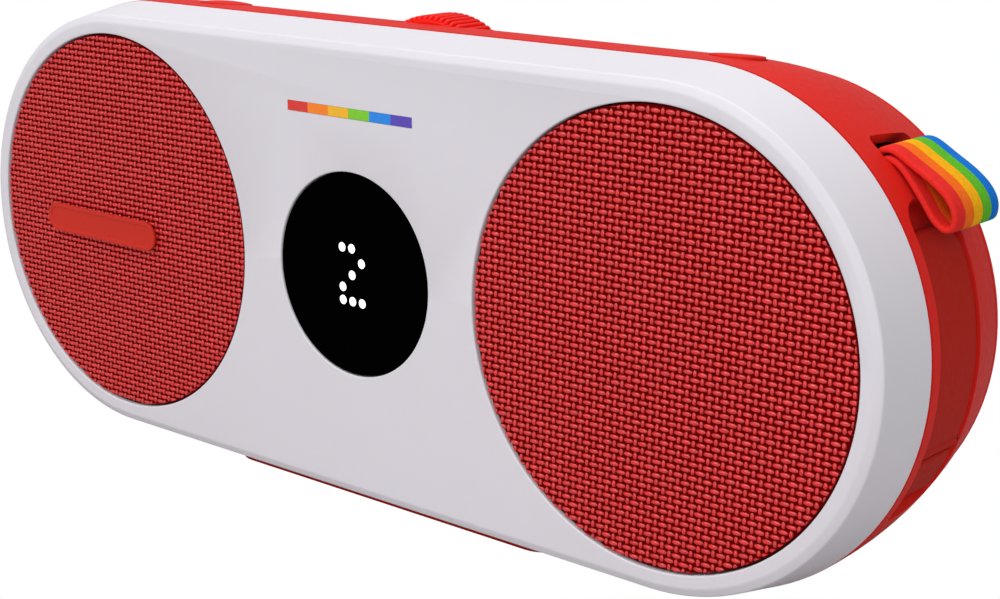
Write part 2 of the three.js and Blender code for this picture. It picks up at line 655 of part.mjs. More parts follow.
// ---- volume dial ----
function dialWheel() {
  const points = Array.from({ length: 2 * DIAL_RIBS }, (_, i) => {
    const angle = Math.PI * i / DIAL_RIBS;
    const radius = i % 2 ? DIAL_RADIUS - RIB_DEPTH : DIAL_RADIUS;
    return [radius * Math.sin(angle), DIAL_Z + radius * Math.cos(angle)];
  });
  const bore = disc(SHAFT_RADIUS + GAP, DIAL_FRONT - CUT, DIAL_BACK + CUT, 2 * SMALL_SIDES, 0, DIAL_Z);
  return alongY(outline(points), DIAL_FRONT, DIAL_BACK).subtract(bore);
}

const CHEEK_GAP = 0.7; // between the wheel and the bracket's cheeks
const BRACKET_FRONT = DIAL_FRONT - CHEEK_GAP - CHEEK_THICKNESS;
const BRACKET_BACK = DIAL_BACK + CHEEK_GAP + CHEEK_THICKNESS;

const dialShaft = () => disc(SHAFT_RADIUS, BRACKET_FRONT, BRACKET_BACK + CUT, 2 * SMALL_SIDES, 0, DIAL_Z);

const TRAY_BACK = CELL_Y + CELL_RADIUS + CELL_SPACE + TRAY_WALL;
const TRAY_LOW = WALL + GAP - crownRadius(TRAY_BACK);
const LOWER_CELL_Z = TRAY_LOW + TRAY_WALL + GAP + CELL_RADIUS;
const CELL_TOP = LOWER_CELL_Z + 3 * CELL_RADIUS + CELL_SPACE;
const MAIN_BOARD_Y = TRAY_BACK + MAIN_BOARD_SPACE;
const MAIN_BOARD_TOP = CELL_TOP + MAIN_BOARD_RISE;
const BRACKET_BASE = CELL_TOP + 2 * CHEEK_THICKNESS;

function dialBracket() {
  const top = DIAL_Z + 2 * SHAFT_RADIUS;
  const half = CHEEK_HALF_WIDTH;
  let body = box(-half, half, BRACKET_FRONT, BRACKET_BACK, BRACKET_BASE - CHEEK_THICKNESS, BRACKET_BASE);
  for (const front of [BRACKET_FRONT, BRACKET_BACK - CHEEK_THICKNESS]) {
    body = body.add(box(-half, half, front, front + CHEEK_THICKNESS, BRACKET_BASE - GAP, top));
  }
  const bearing = disc(SHAFT_RADIUS + GAP, BRACKET_FRONT - CUT, BRACKET_BACK + CUT, 2 * SMALL_SIDES, 0, DIAL_Z);
  return body.subtract(bearing);
}

function dialEncoder() {
  const back = BRACKET_FRONT - GAP;
  const half = 2 * SHAFT_RADIUS;
  return box(-half, half, back - half, back, DIAL_Z - half, DIAL_Z + half);
}

// ---- buttons ----
// The lowest level of the housing's inner face over a round area at a button, along its normal.
function flangeTop(x, radius) {
  const overEnd = Math.max(0, Math.abs(x) + radius - HALF_SPACING);
  const endDrop = overEnd ** 2 / (2 * (BODY_RADIUS - WALL));
  return -WALL - endDrop - radius ** 2 / (2 * CROWN_ROUNDING) - GAP;
}

function button(x, radius, dome) {
  const flange = radius + BUTTON_FLANGE;
  const top = flangeTop(x, flange);
  const bottom = top - BUTTON_FLANGE;
  const steps = 4;
  const rounding = Array.from({ length: steps + 1 }, (_, i) => {
    const share = 1 - i / steps;
    return [radius * share, dome * (1 - share ** 2)];
  });
  const profile = [[0, bottom - STEM_LENGTH], [STEM_RADIUS, bottom - STEM_LENGTH], [STEM_RADIUS, bottom],
    [flange, bottom], [flange, top], [radius, top], ...rounding];
  const points = profile.map(([r, level]) => new THREE.Vector2(r, level));
  return solid(onCrown(new THREE.LatheGeometry(points, DRIVER_SIDES).rotateX(Math.PI / 2), x));
}

function switchTop(x, radius) {
  return flangeTop(x, radius + BUTTON_FLANGE) - BUTTON_FLANGE - STEM_LENGTH - BUTTON_TRAVEL - GAP;
}

function buttonSwitch(x, radius) {
  const top = switchTop(x, radius);
  return crownBox(SWITCH_SIZE, top - SWITCH_HEIGHT, top, x);
}

function buttonBoard(x, radius) {
  const top = switchTop(x, radius) - SWITCH_HEIGHT - GAP;
  return crownBox(2.4 * SWITCH_SIZE, top - BOARD_THICKNESS, top, x);
}

// ---- socket bay ----
const COVER_FRONT = BAY_FRONT + BAY_CLEARANCE;
const COVER_BACK = BAY_BACK - BAY_CLEARANCE;

// The flap's plan, flattened round the end: arc length from the hinge up, and y across.
function portCover() {
  const radius = COVER_OUTER_RADIUS;
  const length = radius * degrees(COVER_TOP - HINGE_ANGLE);
  let body = alongY(endSector(COVER_INNER_RADIUS, COVER_OUTER_RADIUS, HINGE_ANGLE, COVER_TOP),
    COVER_FRONT, COVER_BACK, 2 * SMALL_SIDES);
  body = body.add(disc(KNUCKLE_RADIUS, COVER_FRONT, COVER_BACK, SMALL_SIDES, ...HINGE_PLACE));
  body = body.subtract(disc(HINGE_PIN_RADIUS + GAP, COVER_FRONT - CUT, COVER_BACK + CUT,
    SMALL_SIDES, ...HINGE_PLACE));
  // rounded corners at the free end
  const corner = COVER_CORNER;
  for (const [edge, side] of [[COVER_FRONT, 1], [COVER_BACK, -1]]) {
    const bite = new THREE.Shape();
    bite.moveTo(length + CUT, edge - side * CUT);
    bite.lineTo(length + CUT, edge + side * corner);
    bite.lineTo(length, edge + side * corner);
    bite.absarc(length - corner, edge + side * corner, corner, 0, -side * Math.PI / 2, side > 0);
    bite.lineTo(length - corner, edge - side * CUT);
    const cutter = new THREE.ExtrudeGeometry(bite, { depth: 3 * COVER_THICKNESS, bevelEnabled: false,
      curveSegments: SMALL_SIDES / 2 });
    // lay the cutter against the end: its length axis up along the rim at the flap's top
    cutter.translate(-length, 0, -2 * COVER_THICKNESS);
    const up = new THREE.Vector3(-Math.sin(degrees(COVER_TOP)), 0, Math.cos(degrees(COVER_TOP)));
    const out = new THREE.Vector3(Math.cos(degrees(COVER_TOP)), 0, Math.sin(degrees(COVER_TOP)));
    const back = new THREE.Vector3(0, 1, 0);
    const [x, z] = endPoint(radius, COVER_TOP);
    cutter.applyMatrix4(new THREE.Matrix4().makeBasis(up, back, out).setPosition(x, 0, z));
    body = body.subtract(solid(cutter));
  }
  return body;
}

const portCoverPin = () => disc(HINGE_PIN_RADIUS, BAY_FRONT - 1.2, BAY_BACK + 1.2, SMALL_SIDES, ...HINGE_PLACE);

function portCoverTail() {
  const step = THREE.MathUtils.radToDeg((KNUCKLE_RADIUS + BAY_CLEARANCE) / HINGE_RADIUS);
  const slack = THREE.MathUtils.radToDeg(BAY_CLEARANCE / COVER_INNER_RADIUS);
  const shape = endSector(BAY_FLOOR_RADIUS + GAP, COVER_OUTER_RADIUS, BAY_BOTTOM + slack, HINGE_ANGLE - step);
  return alongY(shape, COVER_FRONT, COVER_BACK);
}

const TUB_INSIDE = HALF_SPACING + Math.sqrt((BAY_FLOOR_RADIUS - BAY_WALL) ** 2 - PORT_BOARD_HALF_HEIGHT ** 2);
const PORT_BOARD_X = TUB_INSIDE - PORT_BOARD_SETBACK;

// The socket's mouth stands just behind the bay's floor at the end of the socket farther from level.
function socketMouth(farthest) {
  return HALF_SPACING + Math.sqrt(BAY_FLOOR_RADIUS ** 2 - farthest ** 2) - SOCKET_SETBACK;
}

function portBoard() {
  const back = PORT_BOARD_X - GAP;
  return box(back - BOARD_THICKNESS, back, BAY_FRONT, BAY_BACK, -PORT_BOARD_HALF_HEIGHT, PORT_BOARD_HALF_HEIGHT);
}

function usbSocket() {
  const mouth = socketMouth(Math.abs(USB_Z) + USB_WIDTH / 2);
  const shell = (height, width) => {
    const shape = new THREE.Shape();
    const [end, reach] = [height / 2, width / 2 - height / 2];
    shape.absarc(SOCKET_Y, USB_Z + reach, end, 0, Math.PI);
    shape.absarc(SOCKET_Y, USB_Z - reach, end, Math.PI, 2 * Math.PI);
    return shape;
  };
  const back = PORT_BOARD_X + CUT;
  return alongX(shell(USB_THICKNESS, USB_WIDTH), PORT_BOARD_X, mouth)
    .subtract(alongX(shell(USB_THICKNESS - 2 * USB_SHEET, USB_WIDTH - 2 * USB_SHEET), back, mouth + CUT))
    .add(box(back - GAP, mouth - CUT, SOCKET_Y - USB_SHEET, SOCKET_Y + USB_SHEET,
      USB_Z - USB_WIDTH / 3, USB_Z + USB_WIDTH / 3));
}

function auxSocket() {
  const mouth = socketMouth(Math.abs(AUX_Z) + AUX_RADIUS);
  const geometry = (radius, from, to) => new THREE.CylinderGeometry(radius, radius, to - from, 2 * SMALL_SIDES)
    .rotateZ(Math.PI / 2).translate((from + to) / 2, SOCKET_Y, AUX_Z);
  return solid(geometry(AUX_RADIUS, PORT_BOARD_X, mouth))
    .subtract(solid(geometry(AUX_BORE, PORT_BOARD_X + CUT, mouth + CUT)));
}

// ---- carry loop ----
// A doubled webbing band: its two layers leave the slot together and open into a drop-shaped loop.
// The band's middle line is given as [out, along]: out from the surface, and along it from the slot.
const LOOP = [[0.2, -0.6], [1.1, 0.6], [2.5, 4.2], [4.2, 7.8], [5.1, 10.6], [5.1, 12.9], [4, 14.5],
  [2.6, 14.4], [1.6, 12.4], [1.4, 8.5], [1.35, 4.4], [1.1, 1.8], [0.2, 0.8]];
const LOOP_STEPS = 28;

function loopLine() {
  const level = crownRadius(STRAP_FRONT);
  return new THREE.SplineCurve(LOOP.map(([out, along]) => {
    const angle = STRAP_ANGLE - THREE.MathUtils.radToDeg(along / level);
    return new THREE.Vector2(...endPoint(level + out, angle));
  }));
}

// The band from one step of its middle line to another.
function band(line, from, to) {
  const [outer, inner] = [[], []];
  for (let step = from; step <= to; step += 1) {
    const middle = line.getPoint(step / LOOP_STEPS);
    const along = line.getTangent(step / LOOP_STEPS);
    const across = new THREE.Vector2(-along.y, along.x).multiplyScalar(STRAP_THICKNESS / 2);
    outer.push(middle.clone().add(across));
    inner.push(middle.clone().sub(across));
  }
  return alongY(new THREE.Shape([...outer, ...inner.reverse()]), STRAP_FRONT, STRAP_BACK);
}

function strap() {
  const line = loopLine();
  const turn = LOOP_STEPS / 2;
  const pinLevel = STRAP_SURFACE - STRAP_PIN_DEPTH;
  const neck = strapBox(-STRAP_THICKNESS, STRAP_THICKNESS, STRAP_FRONT, STRAP_BACK, pinLevel,
    STRAP_SURFACE + STRAP_THICKNESS);
  const eyelet = disc(STRAP_PIN_RADIUS + GAP + STRAP_THICKNESS, STRAP_FRONT, STRAP_BACK,
    2 * SMALL_SIDES, ...STRAP_PIN_PLACE);
  const bore = disc(STRAP_PIN_RADIUS + GAP, STRAP_FRONT - CUT, STRAP_BACK + CUT,
    SMALL_SIDES, ...STRAP_PIN_PLACE);
  return band(line, 0, turn).add(band(line, turn - 1, LOOP_STEPS)).add(neck).add(eyelet).subtract(bore);
}

function strapPin() {
  const [front, back] = [STRAP_FRONT - SLOT_CLEARANCE - GAP - EAR_THICKNESS, STRAP_BACK + SLOT_CLEARANCE
    + GAP + EAR_THICKNESS];
  return disc(STRAP_PIN_RADIUS, front, back, SMALL_SIDES, ...STRAP_PIN_PLACE);
}

// ---- battery and boards ----
function batteryCell(z) {
  const half = CELL_LENGTH / 2;
  const nub = 1;
  const profile = [[0, -half], [CELL_RADIUS, -half], [CELL_RADIUS, half - nub], [CELL_RADIUS / 3, half - nub],
    [CELL_RADIUS / 3, half], [0, half]];
  const points = profile.map(([radius, at]) => new THREE.Vector2(radius, at));
  return solid(new THREE.LatheGeometry(points, 2 * SMALL_SIDES).rotateZ(-Math.PI / 2).translate(0, CELL_Y, z));
}

function batteryTray() {
  const inside = CELL_LENGTH / 2 + CUT;
  const outside = inside + TRAY_WALL;
  const [front, back] = [CELL_Y - CELL_RADIUS, TRAY_BACK];
  const low = TRAY_LOW;
  let body = box(-outside, outside, back - TRAY_WALL, back, low, CELL_TOP);
  body = body.add(box(-outside, outside, front, back, low, low + TRAY_WALL));
  for (const side of [-1, 1]) {
    const [near, far] = side < 0 ? [-outside, -inside] : [inside, outside];
    body = body.add(box(near, far, front, back, low, CELL_TOP));
  }
  return body;
}

function mainBoard() {
  const half = MAIN_BOARD_HALF_WIDTH;
  const low = LOWER_CELL_Z - CELL_RADIUS + BOARD_THICKNESS * 2;
  const back = MAIN_BOARD_Y + BOARD_THICKNESS;
  let body = box(-half, half, MAIN_BOARD_Y, back, low, MAIN_BOARD_TOP);
  const chips = [[-18, -12, 9, 1.2], [4, -14, 12, 1.6], [20, -26, 6, 3], [-22, -28, 5, 3.4]];
  for (const [x, z, size, height] of chips) {
    body = body.add(box(x - size / 2, x + size / 2, back - GAP, back + height, z - size / 2, z + size / 2));
  }
  return body;
}

const RIBBON_X = CHEEK_HALF_WIDTH + CUT / 2;

function displayRibbon() {
  const level = CELL_TOP + CUT;
  return box(RIBBON_X, RIBBON_X + RIBBON_WIDTH, DISPLAY_BOARD_FRONT + BOARD_THICKNESS + GAP,
    MAIN_BOARD_Y - GAP, level, level + RIBBON_THICKNESS);
}

function speakerLead(side) {
  const start = MAIN_BOARD_Y - GAP - LEAD_RADIUS;
  const drivers = HALF_SPACING - MAGNET_RADIUS;
  const path = new THREE.CatmullRomCurve3([
    new THREE.Vector3(side * (MAIN_BOARD_HALF_WIDTH - 8), start, MAIN_BOARD_TOP - 1.6),
    new THREE.Vector3(side * (MAIN_BOARD_HALF_WIDTH + 3), start - 2, MAIN_BOARD_TOP),
    new THREE.Vector3(side * (drivers - 5), start - 8, MAIN_BOARD_TOP - 2),
    new THREE.Vector3(side * (drivers - 3), BASKET_BACK - BASKET_SHEET / 2, 0),
  ]);
  const section = new THREE.Shape();
  section.absarc(0, 0, LEAD_RADIUS, 0, 2 * Math.PI);
  const options = { steps: 10, curveSegments: 4, extrudePath: path };
  return solid(new THREE.ExtrudeGeometry(section, options));
}

// ---- assembly ----
const pieces = [
  piece('front_bezel', frontBezel(), white()),
  piece('colour_strip', colourStrip(), plastic(0xff8a2a, 0.4)),
  piece('badge', badge(), red()),
  piece('display_window', displayWindow(), gloss()),
  piece('display_board', displayBoard(), board()),
  piece('baffle', baffle(), black()),
  piece('main_housing', mainHousing(), red()),
  piece('rear_cover', rearCover(), red()),
  piece('foot', foot(), red()),
  piece('dial_wheel', dialWheel(), red()),
  piece('dial_shaft', dialShaft(), steel()),
  piece('dial_bracket', dialBracket(), black()),
  piece('dial_encoder', dialEncoder(), black()),
  piece('port_cover', portCover(), darkRed()),
  piece('port_cover_pin', portCoverPin(), steel()),
  piece('port_cover_tail', portCoverTail(), darkRed()),
  piece('port_board', portBoard(), board()),
  piece('usb_socket', usbSocket(), steel()),
  piece('aux_socket', auxSocket(), black()),
  piece('strap', strap(), plastic(0x3282c2, 0.9)),
  piece('strap_pin', strapPin(), steel()),
  piece('battery_cell_lower', batteryCell(LOWER_CELL_Z), plastic(0x2d6fb0, 0.4)),
  piece('battery_cell_upper', batteryCell(LOWER_CELL_Z + 2 * CELL_RADIUS + CELL_SPACE), plastic(0x2d6fb0, 0.4)),
  piece('battery_tray', batteryTray(), black()),
  piece('main_board', mainBoard(), board()),
  piece('display_ribbon', displayRibbon(), plastic(0xd8d4c8, 0.5)),
];

for (const [name, side] of sides) {
  pieces.push(
    piece(`grille_cloth_${name}`, grilleCloth(side), cloth()),
    piece(`grille_frame_${name}`, grilleFrame(side), black()),
    piece(`driver_basket_${name}`, driverBasket(side), black()),
    piece(`driver_surround_${name}`, driverSurround(side), softRubber()),
    piece(`driver_cone_${name}`, driverCone(side), paper()),
    piece(`driver_magnet_${name}`, driverMagnet(side), steel()),
    piece(`speaker_lead_${name}`, speakerLead(side), black()),
  );
  driverScrewPlaces(side).forEach(([x, z], i) => {
    const seat = BASKET_FRONT + BASKET_FLANGE + GAP;
    const length = seat - BAFFLE_FRONT - GAP;
    const body = screw(x, z, seat, 2 * DRIVER_SCREW_RADIUS, 1.2, DRIVER_SCREW_RADIUS, length);
    pieces.push(piece(`driver_screw_${name}_${i + 1}`, body, steel()));
  });
}

for (const [name, x, radius, dome] of [
  ['power', POWER_X, POWER_RADIUS, POWER_DOME], ['play', PLAY_X, PLAY_RADIUS, PLAY_DOME],
]) {
  pieces.push(
    piece(`${name}_button`, button(x, radius, dome), red()),
    piece(`${name}_switch`, buttonSwitch(x, radius), black()),
    piece(`${name}_switch_board`, buttonBoard(x, radius), board()),
  );
}

for (const [name, x, z] of rearScrewPlaces) {
  const body = screw(x, z, REAR_SEAT, REAR_HEAD_RADIUS, REAR_HEAD_HEIGHT, REAR_SCREW_RADIUS,
    REAR_SCREW_LENGTH);
  pieces.push(piece(`rear_screw_${name}`, body, steel()));
}

const speaker = new THREE.Group();
speaker.add(...pieces);
speaker.position.set(0, -(BADGE_FRONT + DEPTH) / 2, AXIS_HEIGHT);

const model = new THREE.Group();
model.add(speaker);

export default model;
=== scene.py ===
# %% [markdown]
# # A portable party speaker
# The speaker is a long round-ended case: a white front moulding with two cloth grilles and a dot
# display, and a red housing behind it with a volume dial, two buttons, a socket cover and a striped
# carry loop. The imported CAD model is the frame. This lesson puts finely made surfaces around it.

# %% The frame and its box
import math

import bmesh
import bpy
from mathutils import Matrix, Vector

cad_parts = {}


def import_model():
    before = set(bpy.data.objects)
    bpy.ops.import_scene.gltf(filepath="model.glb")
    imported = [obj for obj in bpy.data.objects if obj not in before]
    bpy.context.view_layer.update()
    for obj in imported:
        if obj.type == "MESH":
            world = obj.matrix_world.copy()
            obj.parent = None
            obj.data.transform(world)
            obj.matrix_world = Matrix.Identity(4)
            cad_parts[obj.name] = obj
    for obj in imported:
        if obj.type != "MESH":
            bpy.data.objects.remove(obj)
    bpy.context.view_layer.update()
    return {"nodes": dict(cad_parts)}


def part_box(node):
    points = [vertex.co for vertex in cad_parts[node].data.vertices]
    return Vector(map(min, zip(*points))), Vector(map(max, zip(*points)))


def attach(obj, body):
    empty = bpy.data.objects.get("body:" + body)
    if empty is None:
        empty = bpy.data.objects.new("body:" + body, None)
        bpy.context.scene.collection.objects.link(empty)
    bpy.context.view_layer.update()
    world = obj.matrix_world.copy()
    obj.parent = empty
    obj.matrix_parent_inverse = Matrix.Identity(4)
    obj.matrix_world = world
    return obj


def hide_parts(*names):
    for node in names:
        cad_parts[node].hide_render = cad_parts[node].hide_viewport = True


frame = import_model()
nodes = frame["nodes"]

# %% [markdown]
# Every size comes from the CAD pieces. The design's own frame is handy for modelling: millimetres,
# with x along the case, y counted back from the front face, and z from the axis of the round ends.
# One function turns such points into metres in the frame that all pieces share.

# %% Sizes read from the CAD pieces
MM = 0.001
bezel_low, bezel_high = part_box("front_bezel")
housing_low, housing_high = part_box("main_housing")
rear_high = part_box("rear_cover")[1]
cloth_low, cloth_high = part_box("grille_cloth_right")
window_low, window_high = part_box("display_window")
dial_low, dial_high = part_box("dial_wheel")

ORIGIN = Vector((0, bezel_low.y, (bezel_low.z + bezel_high.z) / 2))
HALF_SPACING = (cloth_low.x + cloth_high.x) / 2 / MM
BODY_RADIUS = (bezel_high.z - bezel_low.z) / 2 / MM
BEZEL_DEPTH = (bezel_high.y - bezel_low.y) / MM
GAP = 0.3
CLOTH_RADIUS = (cloth_high.x - cloth_low.x) / 2 / MM
GRILLE_RADIUS = CLOTH_RADIUS + GAP
HOUSING_BACK = (housing_high.y - ORIGIN.y) / MM
DEPTH = (rear_high.y - ORIGIN.y) / MM
WALL = 2.4
print("half spacing", HALF_SPACING, "body radius", BODY_RADIUS, "depth", DEPTH)


def depth_of(y):
    """A row-frame y in metres as millimetres behind the front face."""
    return (y - ORIGIN.y) / MM


def level_of(z):
    """A row-frame z in metres as millimetres above the axis."""
    return (z - ORIGIN.z) / MM


def world(points):
    return [ORIGIN + Vector(p) * MM for p in points]


# %% [markdown]
# ## The camera
# It looks at the speaker from its right and a little above, from about 38 cm, with a short
# telephoto view. A camera's own axes come from two angles and a very small roll.

# %% The camera
CAMERA_AZIMUTH = math.radians(41.57)
CAMERA_ELEVATION = math.radians(14.69)
CAMERA_ROLL = math.radians(-0.17)
CAMERA_PLACE = (254.1, -244.8, 87.5)

camera = bpy.data.objects.new("camera", bpy.data.cameras.new("camera"))
bpy.context.scene.collection.objects.link(camera)
camera.data.sensor_width = 36
camera.data.lens = 69.96
turn = Matrix.Rotation(CAMERA_AZIMUTH, 4, "Z") @ Matrix.Rotation(math.pi / 2 - CAMERA_ELEVATION, 4, "X")
camera.matrix_world = (
    Matrix.Translation(world([CAMERA_PLACE])[0]) @ turn @ Matrix.Rotation(CAMERA_ROLL, 4, "Z")
)
bpy.context.scene.camera = camera

# %% [markdown]
# ## Mesh helpers
# The case is one idea used again and again: a profile of radii and depths, carried round a track
# with two round ends. Round pieces are turned about an axis. Holes are cut with booleans, and the
# cut edges are then rounded, as a mould would round them.

# %% Making and finishing meshes
def new_piece(name, points, faces):
    """A mesh piece from points in the design's millimetres."""
    mesh = bpy.data.meshes.new(name)
    mesh.from_pydata(world(points), [], faces)
    piece = bpy.data.objects.new(name, mesh)
    bpy.context.scene.collection.objects.link(piece)
    turn_outwards(piece)
    return piece


def turn_outwards(piece):
    bm = bmesh.new()
    bm.from_mesh(piece.data)
    bmesh.ops.remove_doubles(bm, verts=bm.verts, dist=1e-7)
    bmesh.ops.recalc_face_normals(bm, faces=bm.faces)
    bm.to_mesh(piece.data)
    bm.free()


def bake(piece):
    """Turns a piece's modifiers into plain mesh."""
    bpy.context.view_layer.update()
    graph = bpy.context.evaluated_depsgraph_get()
    mesh = bpy.data.meshes.new_from_object(piece.evaluated_get(graph))
    piece.modifiers.clear()
    piece.data = mesh
    mesh.name = piece.name
    return piece


def smooth(piece):
    piece.data.polygons.foreach_set("use_smooth", [True] * len(piece.data.polygons))


def join_or_cut(piece, others, operation="DIFFERENCE"):
    for other in others:
        modifier = piece.modifiers.new("cut", "BOOLEAN")
        modifier.operation = operation
        modifier.solver = "EXACT"
        modifier.object = other
        bake(piece)
        bpy.data.objects.remove(other)
    return piece


WELD_DISTANCE = 5e-6


def round_edges(piece, width, segments=3, angle=35):
    """Rounds a piece's sharp edges and evens out its shading."""
    bm = bmesh.new()
    bm.from_mesh(piece.data)
    bmesh.ops.remove_doubles(bm, verts=bm.verts, dist=WELD_DISTANCE)
    bmesh.ops.dissolve_degenerate(bm, edges=bm.edges, dist=WELD_DISTANCE)
    bm.to_mesh(piece.data)
    bm.free()
    smooth(piece)
    bevel = piece.modifiers.new("bevel", "BEVEL")
    bevel.width = width * MM
    bevel.segments = segments
    bevel.limit_method = "ANGLE"
    bevel.angle_limit = math.radians(angle)
    bevel.use_clamp_overlap = True
    bevel.miter_outer = "MITER_ARC"
    weighted = piece.modifiers.new("normals", "WEIGHTED_NORMAL")
    weighted.keep_sharp = True
    return bake(piece)


# %% The round-ended track, turned rings and simple bars
END_STEPS = 64


def track_ring(radius, y):
    angles = [math.pi * i / END_STEPS for i in range(END_STEPS + 1)]
    right = [(HALF_SPACING + radius * math.sin(a), y, radius * math.cos(a)) for a in angles]
    left = [(-HALF_SPACING - radius * math.sin(a), y, -radius * math.cos(a)) for a in angles]
    return right + left


def skin(rings, capped=True):
    """Faces between rings that hold the same number of points, with a cap at each end."""
    count = len(rings[0])
    faces = []
    for row in range(len(rings) - 1):
        for i in range(count):
            j = (i + 1) % count
            faces.append((row * count + i, row * count + j, (row + 1) * count + j, (row + 1) * count + i))
    if capped:
        faces.append(tuple(range(count)))
        faces.append(tuple(range((len(rings) - 1) * count, len(rings) * count)))
    return [p for ring in rings for p in ring], faces


def track(name, profile):
    return new_piece(name, *skin([track_ring(radius, y) for radius, y in profile]))


def turned(name, profile, x=0, z=0, sides=96, closed=False):
    """A profile of (radius, y) turned about an axis along y. A closed profile makes a ring."""
    rings = []
    for radius, y in profile + (profile[:1] if closed else []):
        angles = [2 * math.pi * i / sides for i in range(sides)]
        rings.append([(x + radius * math.sin(a), y, z + radius * math.cos(a)) for a in angles])
    return new_piece(name, *skin(rings, capped=not closed))


def bar(name, x0, x1, y0, y1, z0, z1):
    rings = [[(x0, y, z0), (x1, y, z0), (x1, y, z1), (x0, y, z1)] for y in (y0, y1)]
    return new_piece(name, *skin(rings))


def plate(name, outline, front, back):
    """An outline of (x, z) points with a thickness along y."""
    return new_piece(name, *skin([[(x, y, z) for x, z in outline] for y in (front, back)]))


def capsule(length, height, x, z, steps=24):
    end = height / 2
    reach = length / 2 - end
    right = [math.pi * i / steps - math.pi / 2 for i in range(steps + 1)]
    left = [a + math.pi for a in right]
    points = [(x + reach + end * math.cos(a), z + end * math.sin(a)) for a in right]
    return points + [(x - reach + end * math.cos(a), z + end * math.sin(a)) for a in left]


def end_point(radius, angle):
    """A point round the right end, at an angle in degrees from level."""
    a = math.radians(angle)
    return HALF_SPACING + radius * math.cos(a), radius * math.sin(a)


# %% [markdown]
# ## Materials
# Every finish is a small node tree on Object coordinates, so nothing slides when a piece moves.
# Moulded plastic has a fine spark-eroded grain and faint flow variation. The cloth's yarn has a
# sheen from its loose fibres.

# %% Material helpers
def linear(colour):
    """An 8-bit display colour as linear light."""
    parts = [c / 255 for c in colour]
    return tuple(c / 12.92 if c <= 0.04045 else ((c + 0.055) / 1.055) ** 2.4 for c in parts) + (1,)


def blank(name, **settings):
    material = bpy.data.materials.new(name)
    material.use_nodes = True
    shader = material.node_tree.nodes["Principled BSDF"]
    for socket, value in settings.items():
        shader.inputs[socket.replace("_", " ")].default_value = value
    return material, material.node_tree, shader


def noise(tree, scale, detail=2, stretch=(1, 1, 1)):
    place = tree.nodes.new("ShaderNodeTexCoord")
    mapping = tree.nodes.new("ShaderNodeMapping")
    mapping.inputs["Scale"].default_value = stretch
    texture = tree.nodes.new("ShaderNodeTexNoise")
    texture.inputs["Scale"].default_value = scale
    texture.inputs["Detail"].default_value = detail
    tree.links.new(place.outputs["Object"], mapping.inputs["Vector"])
    tree.links.new(mapping.outputs["Vector"], texture.inputs["Vector"])
    return texture.outputs["Fac"]


def ramp(tree, source, stops, interpolation="LINEAR"):
    node = tree.nodes.new("ShaderNodeValToRGB")
    node.color_ramp.interpolation = interpolation
    elements = node.color_ramp.elements
    while len(elements) < len(stops):
        elements.new(0.5)
    for element, (place, colour) in zip(elements, stops):
        element.position = place
        element.color = colour
    tree.links.new(source, node.inputs["Fac"])
    return node.outputs["Color"]


def grey(value):
    return (value, value, value, 1)


def bump(tree, shader, height, strength, distance):
    node = tree.nodes.new("ShaderNodeBump")
    node.inputs["Strength"].default_value = strength
    node.inputs["Distance"].default_value = distance
    tree.links.new(height, node.inputs["Height"])
    tree.links.new(node.outputs["Normal"], shader.inputs["Normal"])


def share_along(tree, axis, low, high):
    """How far along an object axis a place is, between two places given in metres."""
    place = tree.nodes.new("ShaderNodeTexCoord")
    split = tree.nodes.new("ShaderNodeSeparateXYZ")
    share = tree.nodes.new("ShaderNodeMapRange")
    share.inputs["From Min"].default_value = low
    share.inputs["From Max"].default_value = high
    tree.links.new(place.outputs["Object"], split.inputs["Vector"])
    tree.links.new(split.outputs[axis], share.inputs["Value"])
    return share.outputs["Result"]


def mottled(tree, shader, colour, scale, darkest):
    """Sets the base colour, darkened in small specks."""
    specks = ramp(tree, noise(tree, scale, 3), [(0.3, grey(darkest)), (0.7, grey(1.0))])
    mix = tree.nodes.new("ShaderNodeMix")
    mix.data_type = "RGBA"
    mix.blend_type = "MULTIPLY"
    mix.inputs["Factor"].default_value = 1.0
    tree.links.new(colour, mix.inputs["A"])
    tree.links.new(specks, mix.inputs["B"])
    tree.links.new(mix.outputs["Result"], shader.inputs["Base Color"])


def moulded(name, colour, roughness, grain=0.35, shift=0.93, **settings):
    """Moulded plastic: a fine grain, and faint broad changes of colour and gloss."""
    material, tree, shader = blank(name, **settings)
    base = linear(colour)
    darker = tuple(c * shift for c in base[:3]) + (1,)
    broad = noise(tree, 35, 3)
    tree.links.new(ramp(tree, broad, [(0.3, darker), (0.7, base)]), shader.inputs["Base Color"])
    gloss = noise(tree, 900, 2)
    spread = [(0.3, grey(roughness * 0.9)), (0.7, grey(min(1, roughness * 1.12)))]
    tree.links.new(ramp(tree, gloss, spread), shader.inputs["Roughness"])
    bump(tree, shader, noise(tree, 2600, 3), grain, 0.00006)
    return material


def metal(name, colour, roughness, stretch=(1, 1, 30)):
    """Drawn or plated steel, with fine lines along one direction."""
    material, tree, shader = blank(name, Metallic=1.0)
    base = linear(colour)
    lines = noise(tree, 400, 3, stretch)
    darker = tuple(c * 0.82 for c in base[:3]) + (1,)
    tree.links.new(ramp(tree, lines, [(0.3, darker), (0.7, base)]), shader.inputs["Base Color"])
    spread = [(0.3, grey(roughness * 0.8)), (0.7, grey(roughness * 1.25))]
    tree.links.new(ramp(tree, lines, spread), shader.inputs["Roughness"])
    bump(tree, shader, lines, 0.15, 0.00003)
    return material


